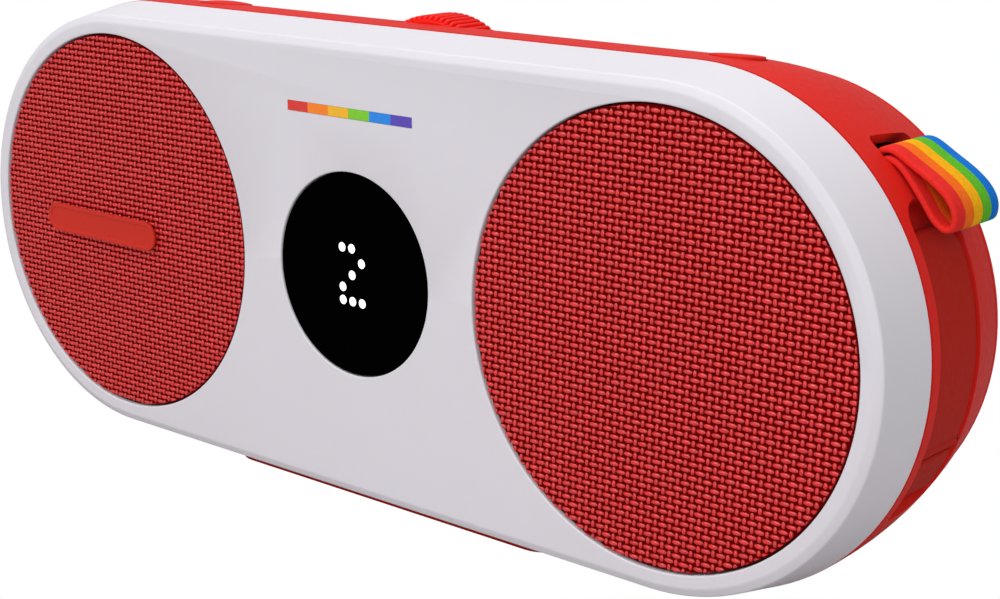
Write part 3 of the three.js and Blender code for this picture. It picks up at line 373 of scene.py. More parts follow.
# %% The finishes of this speaker
white_plastic = moulded("white_plastic", (224, 220, 227), 0.5, grain=0.25, shift=0.985)
red_plastic = moulded("red_plastic", (226, 38, 30), 0.5, grain=0.3, Specular_IOR_Level=0.1)
red_gloss = moulded("red_dial_plastic", (244, 30, 20), 0.4, grain=0.2, Specular_IOR_Level=0.15)
red_rubber = moulded("red_silicone", (188, 34, 22), 0.62, grain=0.5, Specular_IOR_Level=0.1)
red_badge = moulded("red_badge_plastic", (206, 44, 28), 0.5, grain=0.2, Specular_IOR_Level=0.2)
black_plastic = moulded("black_plastic", (30, 30, 32), 0.5)
soft_black = moulded("black_rubber", (24, 24, 26), 0.7, grain=0.5)
window_black = moulded("black_window", (2, 2, 3), 0.3, grain=0.0, Specular_IOR_Level=0.0)
cell_wrap = moulded("cell_wrap", (52, 112, 172), 0.32, grain=0.1)
ribbon_film = moulded("ribbon_film", (214, 208, 190), 0.4, grain=0.1)
steel = metal("plated_steel", (196, 198, 202), 0.32)

# %% [markdown]
# ## The front moulding
# The white front is one moulding: a flat face, a narrow bright chamfer, and a side wall that widens
# towards the back. It is the outer track less the inner track, with round wells for the grilles
# and the display and a shallow pocket for the colour strip. A bevel on every cut edge gives the
# thin highlights that a real mould leaves.

# %% The front moulding
FACE_RADIUS = 41.8
CHAMFER_RADIUS = 43.3
CHAMFER_DEPTH = 0.7
SIDE_WALL = 1.6
BEZEL_INNER = CHAMFER_RADIUS - SIDE_WALL
WINDOW_LIP = 1.7
DISPLAY_RADIUS = (window_high.x - window_low.x) / 2 / MM - WINDOW_LIP
CUT = 1.0
STRIP_SPARE = 0.05
strip_low, strip_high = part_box("colour_strip")
STRIP_HALF = strip_high.x / MM
STRIP_THICKNESS = depth_of(strip_high.y)
STRIP_BASE, STRIP_TOP = level_of(strip_low.z), level_of(strip_high.z)

bezel = track("front_moulding", [
    (FACE_RADIUS, 0), (CHAMFER_RADIUS, CHAMFER_DEPTH), (BODY_RADIUS, BEZEL_DEPTH)])
bezel_cuts = [track("cut", [(BEZEL_INNER, WALL), (BEZEL_INNER, BEZEL_DEPTH + CUT)])]
for x, radius in ((-HALF_SPACING, GRILLE_RADIUS), (HALF_SPACING, GRILLE_RADIUS), (0, DISPLAY_RADIUS)):
    bezel_cuts.append(turned("cut", [(radius, -CUT), (radius, WALL + CUT)], x, sides=160))
join_or_cut(bezel, bezel_cuts)
round_edges(bezel, 0.3, angle=18)
join_or_cut(bezel, [bar("cut", -STRIP_HALF - STRIP_SPARE, STRIP_HALF + STRIP_SPARE, -CUT,
                        STRIP_THICKNESS + GAP, STRIP_BASE - STRIP_SPARE, STRIP_TOP + STRIP_SPARE)])


def finished(piece, material, body, slot, *replaced):
    """Gives a finished piece its material, body and the CAD nodes that it stands for. The slot is not used.
    """
    piece.data.materials.clear()
    piece.data.materials.append(material)
    piece.data.polygons.foreach_set("material_index", [0] * len(piece.data.polygons))
    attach(piece, body)
    if replaced:
        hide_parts(*replaced)
    print(piece.name, len(piece.data.polygons), "faces")
    return piece


finished(bezel, white_plastic, "root", "white_abs", "front_bezel")

# %% [markdown]
# ## The colour strip
# The strip is a thin inlay with a row of plain colours. One bar with a constant colour ramp along
# x does it: a ramp with hard stops is a row of printed blocks.

# %% The colour strip
RAINBOW = [(226, 56, 48), (255, 134, 30), (250, 186, 36), (128, 208, 44), (34, 138, 236), (92, 70, 186)]


def striped(name, colours, axis, low, high, roughness, weave):
    """Hard-edged stripes of colour between two places along an object axis, given in metres."""
    material, tree, shader = blank(name, Roughness=roughness)
    stops = [(i / len(colours), linear(c)) for i, c in enumerate(colours)]
    mottled(tree, shader, ramp(tree, share_along(tree, axis, low, high), stops, "CONSTANT"), 1400, 1 - weave)
    return material, tree, shader


strip = bar("colour_inlay", -STRIP_HALF, STRIP_HALF, 0.02, STRIP_THICKNESS, STRIP_BASE, STRIP_TOP)
round_edges(strip, 0.06, segments=2)
strip_ink, _, _ = striped("strip_ink", RAINBOW, "X", strip_low.x, strip_high.x, 0.4, 0.05)
finished(strip, strip_ink, "root", "colour_ink", "colour_strip")

# %% [markdown]
# ## The badge
# A plain capsule is pinned through the left cloth. Its front edge is rounded.

# %% The badge
badge_low, badge_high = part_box("badge")
badge_length = (badge_high.x - badge_low.x) / MM
badge_height = (badge_high.z - badge_low.z) / MM
badge_x = (badge_low.x + badge_high.x) / 2 / MM
badge_z = level_of((badge_low.z + badge_high.z) / 2)
badge = plate("plain_badge", capsule(badge_length, badge_height, badge_x, badge_z),
              depth_of(badge_low.y), depth_of(badge_high.y))
badge_front = depth_of(badge_low.y)
INSET_MARGIN, INSET_DEPTH = 0.8, 0.18
inset_outline = capsule(badge_length - 2 * INSET_MARGIN, badge_height - 2 * INSET_MARGIN, badge_x, badge_z)
inset = plate("cut", inset_outline, badge_front - CUT, badge_front + INSET_DEPTH)
join_or_cut(badge, [inset])
round_edges(badge, 0.16, segments=2)
finished(badge, red_badge, "root", "red_abs", "badge")

# %% [markdown]
# ## Repeating shapes with Geometry Nodes
# Three small trees make everything that repeats here. One lays a shape on a chequered grid inside a
# circle, for the woven cloth. One turns a shape about an axis, for the ribs of the dial. One puts a
# shape on the points of a mesh, for the screws and the lit dots. Each tree ends in Realize Instances
# and Set Material, and its result is baked to a plain mesh.

# %% A small builder for node trees
class Tree:
    def __init__(self, name):
        self.group = bpy.data.node_groups.new(name, "GeometryNodeTree")
        self.group.interface.new_socket("Geometry", in_out="INPUT", socket_type="NodeSocketGeometry")
        self.group.interface.new_socket("Geometry", in_out="OUTPUT", socket_type="NodeSocketGeometry")
        self.start = self.group.nodes.new("NodeGroupInput")
        self.end = self.group.nodes.new("NodeGroupOutput")

    def input(self, name, kind="NodeSocketFloat"):
        self.group.interface.new_socket(name, in_out="INPUT", socket_type=kind)
        return self.start.outputs[name]

    def node(self, kind, links=None, **settings):
        """A node with its settings, and its inputs linked or set by name or number."""
        node = self.group.nodes.new(kind)
        for key, value in settings.items():
            setattr(node, key, value)
        for key, value in (links or {}).items():
            if isinstance(value, bpy.types.NodeSocket):
                self.group.links.new(value, node.inputs[key])
            else:
                node.inputs[key].default_value = value
        return node

    def math(self, operation, a, b=0.0):
        return self.node("ShaderNodeMath", {0: a, 1: b}, operation=operation).outputs[0]

    def finish(self, geometry, material):
        real = self.node("GeometryNodeRealizeInstances", {"Geometry": geometry})
        painted = self.node("GeometryNodeSetMaterial", {"Geometry": real.outputs[0], "Material": material})
        self.group.links.new(painted.outputs[0], self.end.inputs["Geometry"])
        return self.group


def grow(name, tree, base=None, **values):
    """Runs a tree on an object and keeps its result as a plain mesh."""
    mesh = base.data if base else bpy.data.meshes.new(name)
    piece = bpy.data.objects.new(name, mesh)
    bpy.context.scene.collection.objects.link(piece)
    modifier = piece.modifiers.new("make", "NODES")
    modifier.node_group = tree
    for item in tree.interface.items_tree:
        key = item.name.replace(" ", "_")
        if item.in_out == "INPUT" and key in values:
            modifier[item.identifier] = values[key]
    return bake(piece)


# %% [markdown]
# ## The grille cloth
# The cloth is a coarse two-colour basket weave pulled flat over a frame. Across the cloth run wide
# flat floats, and between them short upright ones, on a chequered grid. A thin dished disc is the
# cloth's ground; its dark red is painted shade for the gaps between the yarns. The floats are real
# geometry on it, so the weave holds up at any distance.
# Each float is a boxy ellipsoid with a few dozen faces.

# %% The weave tree
def float_shape(tree, length, width, height, along_x, steps):
    """A closed float: a ball squared off by a power and scaled to its size."""
    ball = tree.node("GeometryNodeMeshUVSphere", {"Segments": steps[0], "Rings": steps[1], "Radius": 1.0})
    split = tree.node("ShaderNodeSeparateXYZ", {0: tree.node("GeometryNodeInputPosition").outputs[0]})

    def boxy(axis, power, size):
        value = split.outputs[axis]
        raised = tree.math("POWER", tree.math("ABSOLUTE", value), power)
        return tree.math("MULTIPLY", tree.math("MULTIPLY", tree.math("SIGN", value), raised), size)

    long_side = boxy("Z", 0.92, tree.math("MULTIPLY", length, 0.5))
    wide_side = boxy("X", 0.95, tree.math("MULTIPLY", width, 0.5))
    tall_side = boxy("Y", 0.9, height)
    order = {"X": long_side, "Z": wide_side} if along_x else {"X": wide_side, "Z": long_side}
    if along_x:
        tall_side = tree.math("MULTIPLY", tall_side, -1.0)
    place = tree.node("ShaderNodeCombineXYZ", {**order, "Y": tall_side})
    shaped = tree.node("GeometryNodeSetPosition", {
        "Geometry": ball.outputs["Mesh"], "Position": place.outputs[0]})
    return tree.node("GeometryNodeSetShadeSmooth", {"Geometry": shaped.outputs[0]}).outputs[0]


def weave_tree():
    tree = Tree("basket weave")
    radius, centre = tree.input("Radius"), tree.input("Centre", "NodeSocketVector")
    column, row = tree.input("Column pitch"), tree.input("Row pitch")
    sizes = [tree.input(name) for name in ("Float length", "Float width", "Tie length", "Tie width", "Rise")]
    seed = tree.input("Seed", "NodeSocketInt")
    material = tree.input("Material", "NodeSocketMaterial")
    float_length, float_width, tie_length, tie_width, rise = sizes

    def count(pitch):
        half = tree.math("FLOOR", tree.math("DIVIDE", radius, pitch))
        return tree.math("ADD", tree.math("MULTIPLY", half, 2.0), 1.0)

    def span(pitch, number):
        return tree.math("MULTIPLY", pitch, tree.math("SUBTRACT", number, 1.0))

    columns, rows = count(column), count(row)
    grid = tree.node("GeometryNodeMeshGrid", {
        "Size X": span(column, columns), "Size Y": span(row, rows),
        "Vertices X": columns, "Vertices Y": rows})
    index = tree.node("GeometryNodeInputIndex").outputs[0]
    across = tree.math("FLOOR", tree.math("DIVIDE", index, rows))
    up = tree.math("MODULO", index, rows)
    parity = tree.math("MODULO", tree.math("ADD", across, up), 2.0)
    place = tree.node("GeometryNodeInputPosition").outputs[0]
    reach = tree.node("ShaderNodeVectorMath", {0: place}, operation="LENGTH").outputs["Value"]
    joined = tree.node("GeometryNodeJoinGeometry")
    for comparison, length, width, tall, along_x, steps in (
        ("GREATER_THAN", tie_length, tie_width, 1.0, False, (6, 5)),
        ("LESS_THAN", float_length, float_width, 0.96, True, (8, 7)),
    ):
        test = tree.math(comparison, parity, 0.5)
        inside = tree.math("LESS_THAN", reach, tree.math("ADD", radius, tree.math("MULTIPLY", length, 0.3)))
        chosen = tree.node("GeometryNodeCaptureAttribute", {"Geometry": grid.outputs["Mesh"]})
        chosen.capture_items.new("FLOAT", "chosen")
        tree.group.links.new(tree.math("MULTIPLY", test, inside), chosen.inputs["chosen"])
        moved = tree.node("GeometryNodeTransform", {
            "Geometry": chosen.outputs["Geometry"], "Rotation": (math.pi / 2, 0, 0), "Translation": centre})
        sway = tree.node("FunctionNodeRandomValue", {"Min": (-0.03, -0.03, -0.03), "Max": (0.03, 0.03, 0.03),
                                                     "Seed": seed}, data_type="FLOAT_VECTOR")
        swell = tree.node("FunctionNodeRandomValue", {"Min": (0.95, 0.9, 0.93), "Max": (1.03, 1.08, 1.05),
                                                      "Seed": seed}, data_type="FLOAT_VECTOR")
        shape = float_shape(tree, length, width, tree.math("MULTIPLY", rise, tall), along_x, steps)
        placed = tree.node("GeometryNodeInstanceOnPoints", {
            "Points": moved.outputs[0], "Selection": chosen.outputs["chosen"], "Instance": shape,
            "Rotation": sway.outputs[0], "Scale": swell.outputs[0]})
        tree.group.links.new(placed.outputs[0], joined.inputs[0])
    # floats that reach past the rim are drawn in to it
    real = tree.node("GeometryNodeRealizeInstances", {"Geometry": joined.outputs[0]})
    spot = tree.node("GeometryNodeInputPosition").outputs[0]
    away = tree.node("ShaderNodeVectorMath", {0: spot, 1: centre}, operation="SUBTRACT").outputs[0]
    level = tree.node("ShaderNodeVectorMath", {0: away, 1: (1, 0, 1)}, operation="MULTIPLY").outputs[0]
    distance = tree.node("ShaderNodeVectorMath", {0: level}, operation="LENGTH").outputs["Value"]
    pull = tree.math("MINIMUM", tree.math("SUBTRACT", tree.math("DIVIDE", radius, distance), 1.0), 0.0)
    inwards = tree.node("ShaderNodeVectorMath", {0: level, "Scale": pull}, operation="SCALE").outputs[0]
    drawn = tree.node("GeometryNodeSetPosition", {"Geometry": real.outputs[0], "Offset": inwards})
    return tree.finish(drawn.outputs[0], material)


# %% The cloth's materials
def thread_material(name, colour, deep, low, high):
    """Twisted yarn: fine fibres along the thread, and painted shade: darker towards the back, where it dives
    under its neighbours.
    """
    material, tree, shader = blank(
        name, Roughness=0.3, Specular_IOR_Level=0.8, Sheen_Weight=0.25, Sheen_Roughness=0.3)
    shader.inputs["Sheen Tint"].default_value = linear((255, 150, 140))
    # painted shade: the thread's colour darkens from the float tops back towards the ground
    stops = [(0.0, linear(colour)), (1.0, linear(deep))]
    mottled(tree, shader, ramp(tree, share_along(tree, "Y", low, high), stops), 520, 0.88)
    bump(tree, shader, noise(tree, 1500, 2, (1, 1, 5)), 0.5, 0.0001)
    return material


CLOTH_FRONT = depth_of(cloth_low.y)
CLOTH_BACK = depth_of(cloth_high.y)
CLOTH_DISH = 0.6
GROUND_DEPTH = 0.45  # how far the cloth's ground lies behind the tops of the floats
THREAD_RISE = 0.42
# the second colour is the painted shade at the back of each float
cloth_thread = thread_material("red_thread", (250, 36, 38), (132, 4, 4),
                               ORIGIN.y + CLOTH_FRONT * MM, ORIGIN.y + (CLOTH_FRONT + THREAD_RISE) * MM)
# the ground's dark red is painted shade, for the shadowed gaps between the yarns
cloth_ground = moulded("cloth_ground", (112, 3, 3), 0.9, grain=0.6, Specular_IOR_Level=0.0)

# %% The two cloths
WEAVE = {"Column pitch": 1.482, "Row pitch": 1.196, "Float length": 2.06, "Float width": 0.92,
         "Tie length": 1.32, "Tie width": 0.95, "Rise": THREAD_RISE}
weave = weave_tree()
for seed, (name, side) in enumerate((("left", -1), ("right", 1))):
    ground_front = CLOTH_FRONT + GROUND_DEPTH
    ground = turned("cloth_" + name, [
        (CLOTH_RADIUS - 3 * CLOTH_DISH, ground_front),
        (CLOTH_RADIUS - CLOTH_DISH, ground_front + CLOTH_DISH / 8),
        (CLOTH_RADIUS, ground_front + CLOTH_DISH / 3), (CLOTH_RADIUS, CLOTH_BACK)],
        side * HALF_SPACING, sides=120)
    smooth(ground)
    centre = world([(side * HALF_SPACING, CLOTH_FRONT + THREAD_RISE, 0)])[0]
    floats = grow("weave_" + name, weave, Radius=(CLOTH_RADIUS - 0.2) * MM, Centre=centre, Seed=seed + 4,
                  Material=cloth_thread, **{key.replace(" ", "_"): size * MM for key, size in WEAVE.items()})
    finished(ground, cloth_ground, "root", "grille_fabric", "grille_cloth_" + name)
    finished(floats, cloth_thread, "root", "grille_fabric")

# %% [markdown]
# ## The dot display
# A polished black disc sits just below the face, with a lip behind it. The lit dots show through
# it as white points. They are slightly domed, and they glow a little.

# %% The display window and its lit dots
WINDOW_FRONT = depth_of(window_low.y)
WINDOW_BACK = depth_of(window_high.y)
window = turned("display_disc", [
    (DISPLAY_RADIUS - GAP, WINDOW_FRONT), (DISPLAY_RADIUS - GAP, WALL + GAP),
    (DISPLAY_RADIUS + WINDOW_LIP, WALL + GAP), (DISPLAY_RADIUS + WINDOW_LIP, WINDOW_BACK)], sides=160)
round_edges(window, 0.12)
finished(window, window_black, "root", "black_gloss", "display_window")

DOT_PITCH = 2.54
DOT_RADIUS = 0.93
DIGIT = ("110", "001", "010", "100", "111")
lit, _, lit_shader = blank("lit_dot", Roughness=0.4, Emission_Strength=0.9)
lit_shader.inputs["Base Color"].default_value = grey(1)
lit_shader.inputs["Emission Color"].default_value = grey(1)
places = []
for row, line in enumerate(DIGIT):
    for column, on in enumerate(line):
        if on == "1":
            places.append(((column - 1) * DOT_PITCH, 0.0, (2 - row) * DOT_PITCH))


def scatter_tree():
    """Puts a shape on each point of a mesh."""
    tree = Tree("scatter")
    shape = tree.input("Shape", "NodeSocketObject")
    material = tree.input("Material", "NodeSocketMaterial")
    source = tree.node("GeometryNodeObjectInfo", {"Object": shape, "As Instance": True})
    placed = tree.node("GeometryNodeInstanceOnPoints", {
        "Points": tree.start.outputs["Geometry"], "Instance": source.outputs["Geometry"]})
    return tree.finish(placed.outputs[0], material)


scatter = scatter_tree()


def scattered(name, shape, points, material):
    """Copies of a shape, which is modelled where the first copy would be at no offset."""
    base = bpy.data.objects.new("points", bpy.data.meshes.new("points"))
    base.data.from_pydata([Vector(p) * MM for p in points], [], [])
    piece = grow(name, scatter, base, Shape=shape, Material=material)
    bpy.data.objects.remove(shape)
    bpy.data.objects.remove(base)
    return piece


dot = turned("dot", [(DOT_RADIUS * 0.5, WINDOW_FRONT - 0.04), (DOT_RADIUS * 0.9, WINDOW_FRONT - 0.03),
                     (DOT_RADIUS, WINDOW_FRONT + 0.02)], sides=24)
smooth(dot)
finished(scattered("lit_dots", dot, places, lit), lit, "root", "white_abs")

# %% [markdown]
# ## The red housing
# The housing is the same track with a crowned profile: it curves in towards the back. A socket bay,
# a strap slot, a slot for the dial and two button holes are cut through it. A cutter for the round
# end is drawn flat, as a length and a width, and then bent round the end, so its corners can be
# rounded as easily as on a sheet of paper.

# %% The crown, and shapes that follow the round end
CROWN_START = 12
CROWN_ROUNDING = 90
TONGUE_RADIUS = BEZEL_INNER - GAP
TONGUE_WALL = 2.0
HOUSING_FRONT = BEZEL_DEPTH + GAP
HOUSING_TIP = depth_of(housing_low.y)


def crown_radius(y):
    return BODY_RADIUS - max(0, y - CROWN_START) ** 2 / (2 * CROWN_ROUNDING)


def crown(offset, start, end, steps=14):
    places = [start + (end - start) * i / steps for i in range(steps + 1)]
    return [(crown_radius(y) + offset, y) for y in places]


def rounded(x0, x1, y0, y1, corners, steps=8):
    """A rectangle with a radius at each corner: low-low, high-low, high-high and low-high."""
    centres = [(x0, y0, 1, 1, 180), (x1, y0, -1, 1, 270), (x1, y1, -1, -1, 0), (x0, y1, 1, -1, 90)]
    points = []
    for (x, y, right, up, start), radius in zip(centres, corners):
        for i in range(steps + 1 if radius else 1):
            a = math.radians(start + 90 * i / steps)
            points.append((x + right * radius + radius * math.cos(a), y + up * radius + radius * math.sin(a)))
    return points


def prism(name, outline, low, high, place=lambda u, v, w: (u, v, w)):
    return new_piece(name, *skin([[place(u, v, w) for u, v in outline] for w in (low, high)]))


BEND_STEP = 0.8


def bent_plate(name, inner, outer, low, high, front, back, corners, edge=0.0):
    """A plate with rounded corners and edges, bent round the right end between two angles."""
    length = math.radians(high - low) * outer
    plate_piece = prism(name, rounded(0, length, front, back, corners), inner, outer)
    if edge:
        round_edges(plate_piece, edge, segments=4)
    bm = bmesh.new()
    bm.from_mesh(plate_piece.data)
    for i in range(1, int(length / BEND_STEP)):
        cut_place = ORIGIN + Vector((BEND_STEP * i, 0, 0)) * MM
        bmesh.ops.bisect_plane(bm, geom=bm.verts[:] + bm.edges[:] + bm.faces[:], plane_co=cut_place,
                               plane_no=(1, 0, 0), dist=1e-7)
    for vertex in bm.verts:
        along, y, radius = (vertex.co - ORIGIN) / MM
        x, z = end_point(radius, low + math.degrees(along / outer))
        vertex.co = ORIGIN + Vector((x, y, z)) * MM
    if bm.calc_volume(signed=True) < 0:
        bmesh.ops.reverse_faces(bm, faces=bm.faces)
    bm.to_mesh(plate_piece.data)
    bm.free()
    return plate_piece


# %% Places on the crown, where the buttons sit
BUTTON_Y = 21.9
BUTTON_TILT = math.atan((BUTTON_Y - CROWN_START) / CROWN_ROUNDING)


def on_crown(x, u, v, level):
    """A point at a button: u and v along the surface, level out of it."""
    sine, cosine = math.sin(BUTTON_TILT), math.cos(BUTTON_TILT)
    return (x + u, BUTTON_Y + v * cosine + level * sine, crown_radius(BUTTON_Y) - v * sine + level * cosine)


def round_on_crown(name, x, profile, sides=72):
    rings = []
    for radius, level in profile:
        angles = [2 * math.pi * i / sides for i in range(sides)]
        rings.append([on_crown(x, radius * math.cos(a), radius * math.sin(a), level) for a in angles])
    return new_piece(name, *skin(rings))


# %% Sizes of the bay, the slots and the buttons
BAY_FRONT, BAY_BACK = 14, 30
BAY_TOP, BAY_BOTTOM = 35.4, -35
BAY_FLOOR_RADIUS = 40.9
BAY_WALL = 2.6
KNUCKLE_RADIUS = 1.2
strap_low, strap_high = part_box("strap")
STRAP_FRONT, STRAP_BACK = depth_of(strap_low.y), depth_of(strap_high.y)
STRAP_THICKNESS = 1.4
STRAP_ANGLE = 45.9
STRAP_PIN_DEPTH = 7.2
PIN_RADIUS = 1.2
SLOT_CLEARANCE = 0.4
SLOT_SPARE = 2.6
STRAP_SURFACE = crown_radius((STRAP_FRONT + STRAP_BACK) / 2)
PIN_LEVEL = STRAP_SURFACE - STRAP_PIN_DEPTH
DIAL_RADIUS = (dial_high.x - dial_low.x) / 2 / MM
DIAL_Z = level_of((dial_low.z + dial_high.z) / 2)
DIAL_FRONT, DIAL_BACK = depth_of(dial_low.y), depth_of(dial_high.y)
DIAL_CLEARANCE = 0.4
POWER = {"x": -58.0, "radius": 5.2, "dome": 0.6}
PLAY = {"x": 70.5, "radius": 4.6, "dome": 0.3}
POST_RADIUS = 3.6
SCREW_PLACES = [(-40, 28), (40, 28), (-40, -28), (40, -28)]
HINGE_ANGLE = -20.6
HINGE_PIN_RADIUS = 0.9
PILOT_RADIUS = 1.5
EAR_THICKNESS = 2
SOCKET_FRONT, SOCKET_BACK = 18.4, 25.6
SOCKET_BASE, SOCKET_TOP = -9.9, 9
SOCKET_DEPTH_RADIUS = 30
hinge_x, hinge_z = end_point(BAY_FLOOR_RADIUS + GAP + KNUCKLE_RADIUS, HINGE_ANGLE)
pin_x, pin_z = end_point(PIN_LEVEL, STRAP_ANGLE)


def on_strap_line(u, v, w):
    """A point on the strap's way into the housing: u across its faces, v along y, w out from the centre."""
    a = math.radians(STRAP_ANGLE)
    return (HALF_SPACING + w * math.cos(a) - u * math.sin(a), v, w * math.sin(a) + u * math.cos(a))


# %% The housing
def housing_shell():
    outer = [(TONGUE_RADIUS, HOUSING_TIP), (TONGUE_RADIUS, HOUSING_FRONT)]
    outer += crown(0, HOUSING_FRONT, HOUSING_BACK)
    inner = [(TONGUE_RADIUS - TONGUE_WALL, HOUSING_TIP - CUT), (TONGUE_RADIUS - TONGUE_WALL, HOUSING_FRONT)]
    inner += crown(-WALL, HOUSING_FRONT + WALL / 2, HOUSING_BACK + CUT)
    return join_or_cut(track("red_housing", outer), [track("cut", inner)])


def posts():
    made = []
    for x, z in SCREW_PLACES:
        column = [(POST_RADIUS, CROWN_START + WALL), (POST_RADIUS, HOUSING_BACK)]
        made.append(turned("post", column, x, z, 32))
        wall = crown_radius(HOUSING_BACK) - WALL / 2
        low, high = (z, wall) if z > 0 else (-wall, z)
        made.append(bar("web", x - WALL / 2, x + WALL / 2, CROWN_START + WALL, HOUSING_BACK - TONGUE_WALL,
                        low, high))
    return made


housing = housing_shell()
tub_walls = bent_plate("tub", BAY_FLOOR_RADIUS - BAY_WALL, crown_radius(BAY_BACK + WALL) - 1, BAY_BOTTOM - 4,
                       BAY_TOP + 4, BAY_FRONT - WALL, BAY_BACK + WALL, (0, 0, 0, 0))
ears = []
ear = 2 * PIN_RADIUS + GAP
for front in (STRAP_FRONT - SLOT_CLEARANCE - GAP - EAR_THICKNESS, STRAP_BACK + SLOT_CLEARANCE + GAP):
    back = front + EAR_THICKNESS
    outline = [(-ear, front), (ear, front), (ear, back), (-ear, back)]
    ears.append(prism("ear", outline, PIN_LEVEL - ear, STRAP_SURFACE - WALL / 2, on_strap_line))
join_or_cut(housing, posts() + [tub_walls] + ears, "UNION")

pilot = [(PILOT_RADIUS, HOUSING_BACK - 12), (PILOT_RADIUS, HOUSING_BACK + CUT)]
cuts = [turned("cut", pilot, x, z, 24) for x, z in SCREW_PLACES]
cuts.append(bent_plate("cut", BAY_FLOOR_RADIUS, BODY_RADIUS + 2, BAY_BOTTOM, BAY_TOP, BAY_FRONT, BAY_BACK,
                       (1.2, 4.4, 4.4, 1.2)))
cuts.append(bar("cut", HALF_SPACING + SOCKET_DEPTH_RADIUS, HALF_SPACING + BODY_RADIUS,
                SOCKET_FRONT, SOCKET_BACK, SOCKET_BASE, SOCKET_TOP))
cuts.append(turned("cut", [(HINGE_PIN_RADIUS, BAY_FRONT - 1.5), (HINGE_PIN_RADIUS, BAY_BACK + 1.5)],
                   hinge_x, hinge_z, 16))
cuts.append(turned("cut", [(PIN_RADIUS + GAP, STRAP_FRONT - 4), (PIN_RADIUS + GAP, STRAP_BACK + 4)],
                   pin_x, pin_z, 24))
slot_outline = rounded(-STRAP_THICKNESS - SLOT_CLEARANCE, STRAP_THICKNESS + SLOT_SPARE,
                       STRAP_FRONT - SLOT_CLEARANCE, STRAP_BACK + SLOT_CLEARANCE, (1.3,) * 4)
cuts.append(prism("cut", slot_outline, PIN_LEVEL, BODY_RADIUS + CUT, on_strap_line))
cuts.append(turned("cut", [(DIAL_RADIUS + DIAL_CLEARANCE, DIAL_FRONT - DIAL_CLEARANCE),
                           (DIAL_RADIUS + DIAL_CLEARANCE, DIAL_BACK + DIAL_CLEARANCE)], 0, DIAL_Z, 120))
for key in (POWER, PLAY):
    reach = key["radius"] + GAP
    cuts.append(round_on_crown("cut", key["x"], [(reach, -2 * WALL), (reach, 2 * WALL)]))
join_or_cut(housing, cuts)
round_edges(housing, 0.25, angle=28)
finished(housing, red_plastic, "root", "red_abs", "main_housing")

# %% [markdown]
# ## The rear cover and its screws
# The cover closes the housing with a quarter-round edge. Four pan-head screws sit in round
# counterbores. One screw is turned and its cross is cut once, and the scatter tree puts it in the
# four holes.

# %% The rear cover
BACK_FLAT_RADIUS = 32.5
REAR_FRONT = HOUSING_BACK + GAP
HEAD_RADIUS = 3.0
HEAD_HEIGHT = 1.6
HEAD_SEAT = DEPTH - HEAD_HEIGHT - GAP


def rear_profile(steps=16):
    wide, deep = crown_radius(HOUSING_BACK) - BACK_FLAT_RADIUS, DEPTH - REAR_FRONT
    angles = [math.pi / 2 * i / steps for i in range(steps + 1)]
    return [(BACK_FLAT_RADIUS + wide * math.cos(a), REAR_FRONT + deep * math.sin(a)) for a in angles]


tongue = crown_radius(HOUSING_BACK) - WALL - GAP
rear = track("rear_shell", [(tongue, REAR_FRONT - TONGUE_WALL), (tongue, REAR_FRONT)] + rear_profile())
tongue_inner = tongue - TONGUE_WALL + GAP
join_or_cut(rear, [track("cut", [
    (tongue_inner, REAR_FRONT - TONGUE_WALL - CUT), (tongue_inner, REAR_FRONT + GAP),
    (BACK_FLAT_RADIUS, DEPTH - WALL)])])
join_or_cut(rear, [turned("post", [(POST_RADIUS, REAR_FRONT), (POST_RADIUS, DEPTH - WALL + GAP)], x, z, 32)
                   for x, z in SCREW_PLACES], "UNION")
holes = []
for x, z in SCREW_PLACES:
    holes.append(turned("cut", [(PILOT_RADIUS, REAR_FRONT - CUT), (PILOT_RADIUS, DEPTH)], x, z, 24))
    bore = HEAD_RADIUS + GAP
    holes.append(turned("cut", [(bore, HEAD_SEAT - GAP), (bore, DEPTH + CUT)], x, z, 48))
join_or_cut(rear, holes)
round_edges(rear, 0.25, angle=28)
finished(rear, red_plastic, "root", "red_abs", "rear_cover")

# %% The rear screws
SCREW_RADIUS = 1.2
SCREW_LENGTH = 12
screw = turned("screw", [
    (0.4, HEAD_SEAT - SCREW_LENGTH), (SCREW_RADIUS, HEAD_SEAT - SCREW_LENGTH + 1.2),
    (SCREW_RADIUS, HEAD_SEAT),
    (HEAD_RADIUS, HEAD_SEAT), (HEAD_RADIUS, HEAD_SEAT + 0.7), (HEAD_RADIUS - 0.35, HEAD_SEAT + 1.2),
    (HEAD_RADIUS - 1.1, HEAD_SEAT + HEAD_HEIGHT)], sides=40)
top = HEAD_SEAT + HEAD_HEIGHT
join_or_cut(screw, [bar("cut", -1.5, 1.5, top - 0.9, top + CUT, -0.28, 0.28),
                    bar("cut", -0.28, 0.28, top - 0.9, top + CUT, -1.5, 1.5)])
round_edges(screw, 0.05, segments=2)
screws = scattered("rear_screws", screw, [(x, 0, z) for x, z in SCREW_PLACES], steel)
finished(screws, steel, "root", "steel", *["rear_screw_" + name for name in
                                         ("upper_left", "upper_right", "lower_left", "lower_right")])

# %% [markdown]
# ## The foot
# A long rubber pad follows the underside. It is a rounded column less the body's own form, with
# narrow grooves across the face that stands on the table.

